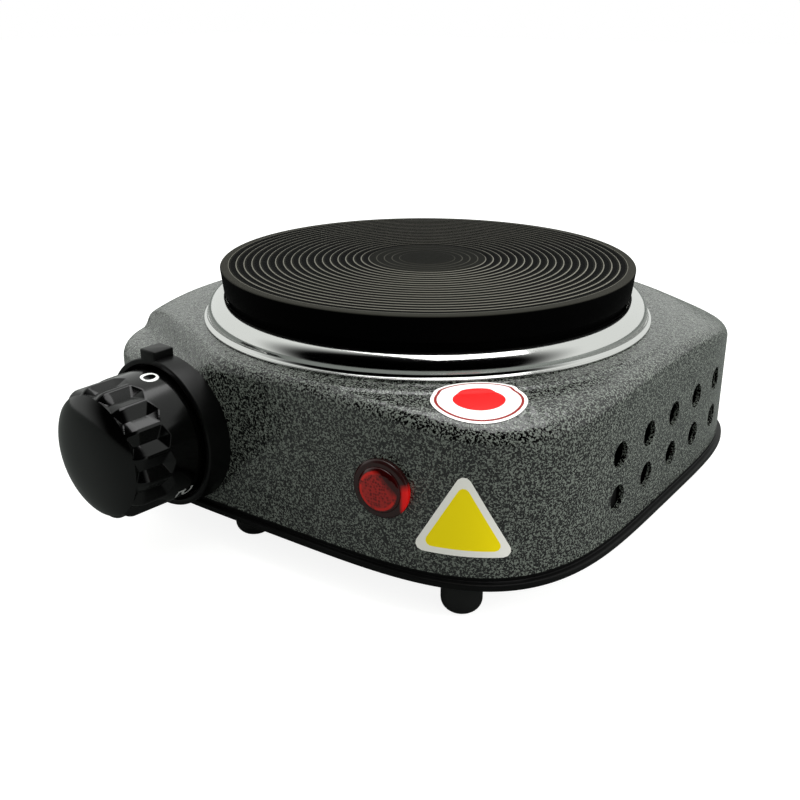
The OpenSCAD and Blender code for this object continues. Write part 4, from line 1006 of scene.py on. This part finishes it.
# %% Knob
KNOB_R, KNOB_FRONT_R, DOME_ROUND = 15.1, 14.8, 2.3
SKIRT_S, SHOULDER_S, TIP_S = 2.1, 18.8, 24.6
FLUTES, FLUTE_FROM, FLUTE_TO = 16, 12.4, 21.6
FLUTE_DEEP, FLUTE_WIDE = 1.15, 0.44
FLUTE_PHASE = 0.5
BACK_SLOPE, FRONT_SLOPE, FLUTE_HOLLOW = 0.45, 2.5, 0.85
KNOB_WALL, CORE_R, CORE_S, WAIST_S = 1.7, 11.0, 19.5, 11.0


def skirt_radius(s):
    return KNOB_R + (KNOB_FRONT_R - KNOB_R) * (s - SKIRT_S) / (SHOULDER_S - SKIRT_S)


def knob_outer():
    smooth = np.linspace(SKIRT_S + 0.3, 12, 12)
    fluted = np.linspace(12.25, SHOULDER_S, 30)
    points = [(skirt_radius(s), s) for s in np.concatenate([smooth, fluted])]
    for t in np.linspace(0, math.pi / 2, 46)[1:]:
        points.append((max(KNOB_FRONT_R * math.cos(t) ** (2 / DOME_ROUND), PIN),
                       SHOULDER_S + (TIP_S - SHOULDER_S) * math.sin(t) ** (2 / DOME_ROUND)))
    return points


def flute_depth(angle, r, s):
    pitch = 2 * math.pi / FLUTES
    across = np.abs((angle / pitch + FLUTE_PHASE) % 1 - 0.5) * pitch * r
    half = pitch * r * FLUTE_WIDE
    back = (s - FLUTE_FROM) - across * BACK_SLOPE
    front = (FLUTE_TO - s) * FRONT_SLOPE
    room = np.minimum(np.minimum(half - across, back), front)
    return FLUTE_DEEP * np.clip(room / half, 0, 1) ** FLUTE_HOLLOW


def knob_rings(steps=480):
    a = full_turn(steps)
    inner = KNOB_R - KNOB_WALL
    inside = [(PIN, CORE_S), (CORE_R, CORE_S), (inner, WAIST_S), (inner, SKIRT_S + 0.2),
              (inner + 0.2, SKIRT_S), (KNOB_R - 0.25, SKIRT_S)]
    return ([around(ON_KNOB, a, r, s) for r, s in inside]
            + [around(ON_KNOB, a, r - flute_depth(a, r, s), s) for r, s in knob_outer()])


knob = loft("control_knob", knob_rings(), sharp=32)
dress(knob, PHENOLIC)
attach(knob, "dial")
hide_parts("knob")

# %% [markdown]
# **Numbers on the knob.** Plain figures from 0 to 5 are printed round the skirt. Each
# starts as flat text, becomes a mesh, and is bent round the skirt: its width becomes an
# angle and its height a distance along the axis.

# %% Printed numbers
FIGURES, FIGURE_S, PRINT = 6, 8.3, 0.04
FIGURE_HEIGHT, FIGURE_WIDEN, FONT_SHARE = 4.2, 1.5, 1.35
OFF_ANGLE, FIGURE_STEP = 79.0, 48.0


def flat_figure(text):
    curve = bpy.data.curves.new("figure", "FONT")
    curve.body = text
    curve.size = FIGURE_HEIGHT * FONT_SHARE
    curve.align_x, curve.align_y = "CENTER", "CENTER"
    curve.resolution_u = 6
    host = bpy.data.objects.new("figure", curve)
    bpy.context.collection.objects.link(host)
    graph = bpy.context.evaluated_depsgraph_get()
    mesh = bpy.data.meshes.new_from_object(host.evaluated_get(graph))
    bpy.data.objects.remove(host)
    bm = bmesh.new()
    bm.from_mesh(mesh)
    bmesh.ops.triangulate(bm, faces=bm.faces)
    bmesh.ops.subdivide_edges(bm, edges=bm.edges, cuts=2)
    bm.to_mesh(mesh)
    bm.free()
    return mesh


def wrapped_figure(text, degrees):
    mesh = flat_figure(text)
    points = np.array([v.co for v in mesh.vertices])
    middle = (points.min(axis=0) + points.max(axis=0)) / 2
    points -= middle
    points[:, 0] *= FIGURE_WIDEN
    s = FIGURE_S + points[:, 1]
    angle = math.radians(degrees) - points[:, 0] / KNOB_R
    place = around(ON_KNOB, angle, skirt_radius(s) + PRINT, s)
    return place, [tuple(p.vertices) for p in mesh.polygons]


verts, faces = [], []
for i in range(FIGURES):
    place, more = wrapped_figure(str(i), OFF_ANGLE + FIGURE_STEP * i)
    faces += [tuple(v + len(verts) for v in f) for f in more]
    verts += place.tolist()
figures = to_object("printed_numbers", verts, faces)
dress(figures, MARK_PAINT)
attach(figures, "dial")

# %% [markdown]
# **The collar** round the knob is a short tube with a web, shaped at the back to the
# bowed wall. It is turned with rounded lips, joined to its mark tab, and cut with the
# housing's own outline, so the two meet all the way round.

# %% Collar
COLLAR_R, COLLAR_IN, COLLAR_S, WEB_S = 17.2, 15.8, 5.2, 1.6
COLLAR_BORE, BEHIND_S = 4.2, -4
LIP_OUT, LIP_IN = 0.45, 0.3
TAB_WIDE, TAB_HIGH, TAB_LEFT, TAB_SOFT = 5.0, 1.8, -4.0, 0.35
WALL_GAP, LIP_GAP = 0.05, 0.3


def collar_profile():
    points = [(COLLAR_BORE, BEHIND_S), (COLLAR_R, BEHIND_S)]
    points += arc(COLLAR_R - LIP_OUT, COLLAR_S - LIP_OUT, LIP_OUT, LIP_OUT, 0, 90, 5)
    points += arc(COLLAR_IN + LIP_IN, COLLAR_S - LIP_IN, LIP_IN, LIP_IN, 90, 180, 3)
    points += [(COLLAR_IN, WEB_S), (COLLAR_BORE, WEB_S)]
    return points


def rounded_bar(name, low, high, place, bevel):
    origin, right, up, out = place
    corners = [(x, y, s) for x in (low[0], high[0]) for y in (low[1], high[1])
               for s in (low[2], high[2])]
    verts = [origin + x * right + y * up + s * out for x, y, s in corners]
    faces = [(0, 1, 3, 2), (4, 6, 7, 5), (0, 4, 5, 1), (2, 3, 7, 6), (0, 2, 6, 4),
             (1, 5, 7, 3)]
    bar = to_object(name, verts, faces)
    soft = bar.modifiers.new("soft", "BEVEL")
    soft.width = bevel * MM
    soft.segments = 3
    apply_modifiers(bar)
    return bar


def outline_prism(name, grow, low_z, high_z, steps=240):
    ring = outline(HALF + grow, steps)
    rings = [np.column_stack([ring, np.full(steps, z)]) for z in (low_z, high_z)]
    return loft(name, rings)


collar = turned("knob_collar", collar_profile(), ON_KNOB, 144, loop=True)
tab = rounded_bar("tab", (TAB_LEFT, COLLAR_R - 1.0, BEHIND_S),
                  (TAB_LEFT + TAB_WIDE, COLLAR_R + TAB_HIGH, COLLAR_S), ON_KNOB, TAB_SOFT)
cut(collar, tab, "UNION")
cut(collar, outline_prism("wall_cut", WALL_GAP, 0, PLATE_TOP))
cut(collar, outline_prism("lip_cut", LIP + LIP_GAP, 0, FLOOR_Z + LIP_GAP))
recrease(collar, 35)
dress(collar, SATIN)
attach(collar, "root")
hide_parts("bezel")

# %% [markdown]
# **The pilot lamp** snaps into its hole. Its flange is dark with a soft edge, and the
# cap in front is a low dome.

# %% Pilot lamp
FLANGE_R, FLANGE_S, CAP_R, CAP_S = 6.25, 1.7, 4.8, 2.7
BARREL_R, BARREL_S, BARREL_IN, OFF_WALL = 4.9, -11.0, 3.4, 0.05
SOFT_R, SOFT_S = 0.9, 0.7


def flange_profile():
    points = [(BARREL_IN, BARREL_S), (BARREL_R, BARREL_S), (BARREL_R, OFF_WALL),
              (FLANGE_R - 0.2, OFF_WALL)]
    points += arc(FLANGE_R - SOFT_R, FLANGE_S - SOFT_S, SOFT_R, SOFT_S, 0, 90, 7)
    points += [(CAP_R, FLANGE_S), (CAP_R, FLANGE_S - 0.4), (BARREL_IN, FLANGE_S - 0.4)]
    return points


def cap_profile():
    points = [(PIN, FLANGE_S - 0.3), (CAP_R, FLANGE_S - 0.3)]
    for t in np.linspace(0, math.pi / 2, 16):
        points.append((max(CAP_R * math.cos(t) ** 0.7, PIN),
                       FLANGE_S + (CAP_S - FLANGE_S) * math.sin(t) ** 0.8))
    return points


flange = turned("lamp_flange", flange_profile(), ON_LAMP, 96, loop=True)
dress(flange, FLANGE_RED)
cap = turned("lamp_cap", cap_profile(), ON_LAMP, 96)
dress(cap, LENS_RED)
for piece in (flange, cap):
    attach(piece, "root")
    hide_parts("lamp_lens")

# %% [markdown]
# **Stickers.** Both are thin vinyl that follows the surface under it. The oval one lies
# on the crowned top, the three-cornered one wraps round the front corner. Each carries
# its flat pattern in a UV map, so that the print bends with it.

# %% Sticker meshes
STICKER, CENTRE = 0.12, 0.002


def sticker(name, rings, flat_rings, print_material):
    """rings are closed rows from the middle out; flat_rings are the same rows, unrolled."""
    piece = loft(name, rings, open_ends=True, sharp=60)
    flat = np.asarray(flat_rings).reshape(-1, 2)
    tree = KDTree(len(flat))
    for i, p in enumerate(np.asarray(rings).reshape(-1, 3)):
        tree.insert(p, i)
    tree.balance()
    layer = piece.data.uv_layers.new(name="print")
    for loop in piece.data.loops:
        found = tree.find(piece.data.vertices[loop.vertex_index].co / MM)[1]
        layer.data[loop.index].uv = flat[found]
    dress(piece, print_material)
    return piece


print("vinyl", STICKER, "mm thick")

# %% [markdown]
# The prints are flat colours in bands round the middle. A ramp without blending colours
# them by the distance in the UV map, where 1 is the sticker's edge, so an oval or a
# triangle comes from the same recipe. Printed vinyl is smooth but not glossy.

# %% Prints
def radial_print(bands):
    """A recipe that colours by the distance from the print's middle: (limit, colour)."""
    def recipe(tree, coords):
        reach = add(tree, "ShaderNodeVectorMath", {0: coords}, operation="LENGTH")
        ramp = add(tree, "ShaderNodeValToRGB", {0: reach.outputs["Value"]})
        ramp.color_ramp.interpolation = "CONSTANT"
        stops = ramp.color_ramp.elements
        stops[0].color = colour(bands[0][1])
        stops[1].position, stops[1].color = bands[0][0], colour(bands[1][1])
        for (limit, _), (_, shade) in zip(bands[1:], bands[2:]):
            stops.new(limit).color = colour(shade)
        return {"Base Color": ramp, "Roughness": 0.5, "Specular IOR Level": 0.25}
    return recipe


OVAL_PRINT = material("printed_vinyl_oval", radial_print(
    [(0.54, "#e80406"), (0.865, "#f4eeee"), (0.925, "#8c1c16"), (1.5, "#f4f0ee")]), "UV")
TRIANGLE_PRINT = material("printed_vinyl_triangle", radial_print(
    [(0.78, "#ffe600"), (1.5, "#f4f1ea")]), "UV")

# %% [markdown]
# The oval sticker lies beside the ring. Its rings take their height from the same
# formula as the housing's top, so it bends over the crown with it.

# %% Oval sticker
OVAL_LONG, OVAL_SHORT, OVAL_GAP = 9.5, 7.3, 0.6
OVAL_R, OVAL_TURN = RING_R + OVAL_GAP + OVAL_SHORT, math.radians(-46.5)


def oval_rings():
    outwards = np.array([math.cos(OVAL_TURN), math.sin(OVAL_TURN)])
    along = np.array([-outwards[1], outwards[0]])
    middle = AXIS + OVAL_R * outwards
    a = full_turn(96)
    rings, flat = [], []
    for rho in np.linspace(CENTRE, 1, 18):
        p = (middle + rho * OVAL_SHORT * np.cos(a)[:, None] * outwards
             + rho * OVAL_LONG * np.sin(a)[:, None] * along)
        z = top_height(p[:, 0], p[:, 1]) + STICKER
        rings.append(np.column_stack([p, z]))
        flat.append(np.column_stack([rho * np.cos(a), rho * np.sin(a)]))
    return rings, flat


oval = sticker("oval_sticker", *oval_rings(), OVAL_PRINT)
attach(oval, "root")
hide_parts("round_label")

# %% [markdown]
# The three-cornered sticker is drawn flat, then laid on the front wall: its height stays
# a height, and its width is walked off along the wall's curve, so it keeps its size
# round the corner.

# %% Three-cornered sticker
TRI_T, TRI_Z, TRI_SIDE, TRI_ROUND = 47.0, 21.0, 21.3, 1.5
TRI_RINGS, CORNER_END = 14, 0.985


def triangle_outline(steps=60):
    """A triangle with round corners, as points round its middle."""
    arm = TRI_SIDE / math.sqrt(3) - 2 * TRI_ROUND
    points = []
    for i in range(3):
        a = math.radians(90 + 120 * i)
        middle = arm * np.array([math.cos(a), math.sin(a)])
        for b in np.linspace(a - math.pi / 3, a + math.pi / 3, 8):
            points.append(middle + TRI_ROUND * np.array([math.cos(b), math.sin(b)]))
    points.append(points[0])
    points = np.array(points)
    length = np.concatenate([[0], np.cumsum(np.linalg.norm(np.diff(points, axis=0), axis=1))])
    at = np.linspace(0, length[-1], steps, endpoint=False)
    return np.column_stack([np.interp(at, length, points[:, i]) for i in (0, 1)])


def wall_points(across, z):
    """Points on the front wall at distances along its plan curve from the sticker."""
    t = np.linspace(0, HALF * CORNER_END, 4000)
    y = HALF * (1 - (t / HALF) ** SQUARENESS) ** (1 / SQUARENESS)
    run = np.concatenate([[0], np.cumsum(np.hypot(np.diff(t), np.diff(y)))])
    here = np.interp(TRI_T, t, run) + across
    tt = np.interp(here, run, t)
    half = HALF + STICKER
    yy = half * (1 - (tt / half) ** SQUARENESS) ** (1 / SQUARENESS)
    return np.column_stack([COVER[0] + tt * half / HALF, COVER[1] - yy, z])


edge = triangle_outline()
shares = np.linspace(CENTRE, 1, TRI_RINGS)
rings = [wall_points(edge[:, 0] * rho, TRI_Z + edge[:, 1] * rho) for rho in shares]
flat = [np.column_stack([np.full(len(edge), rho), np.zeros(len(edge))]) for rho in shares]
triangle = sticker("triangle_sticker", rings, flat, TRIANGLE_PRINT)
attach(triangle, "root")
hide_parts("triangle_label")
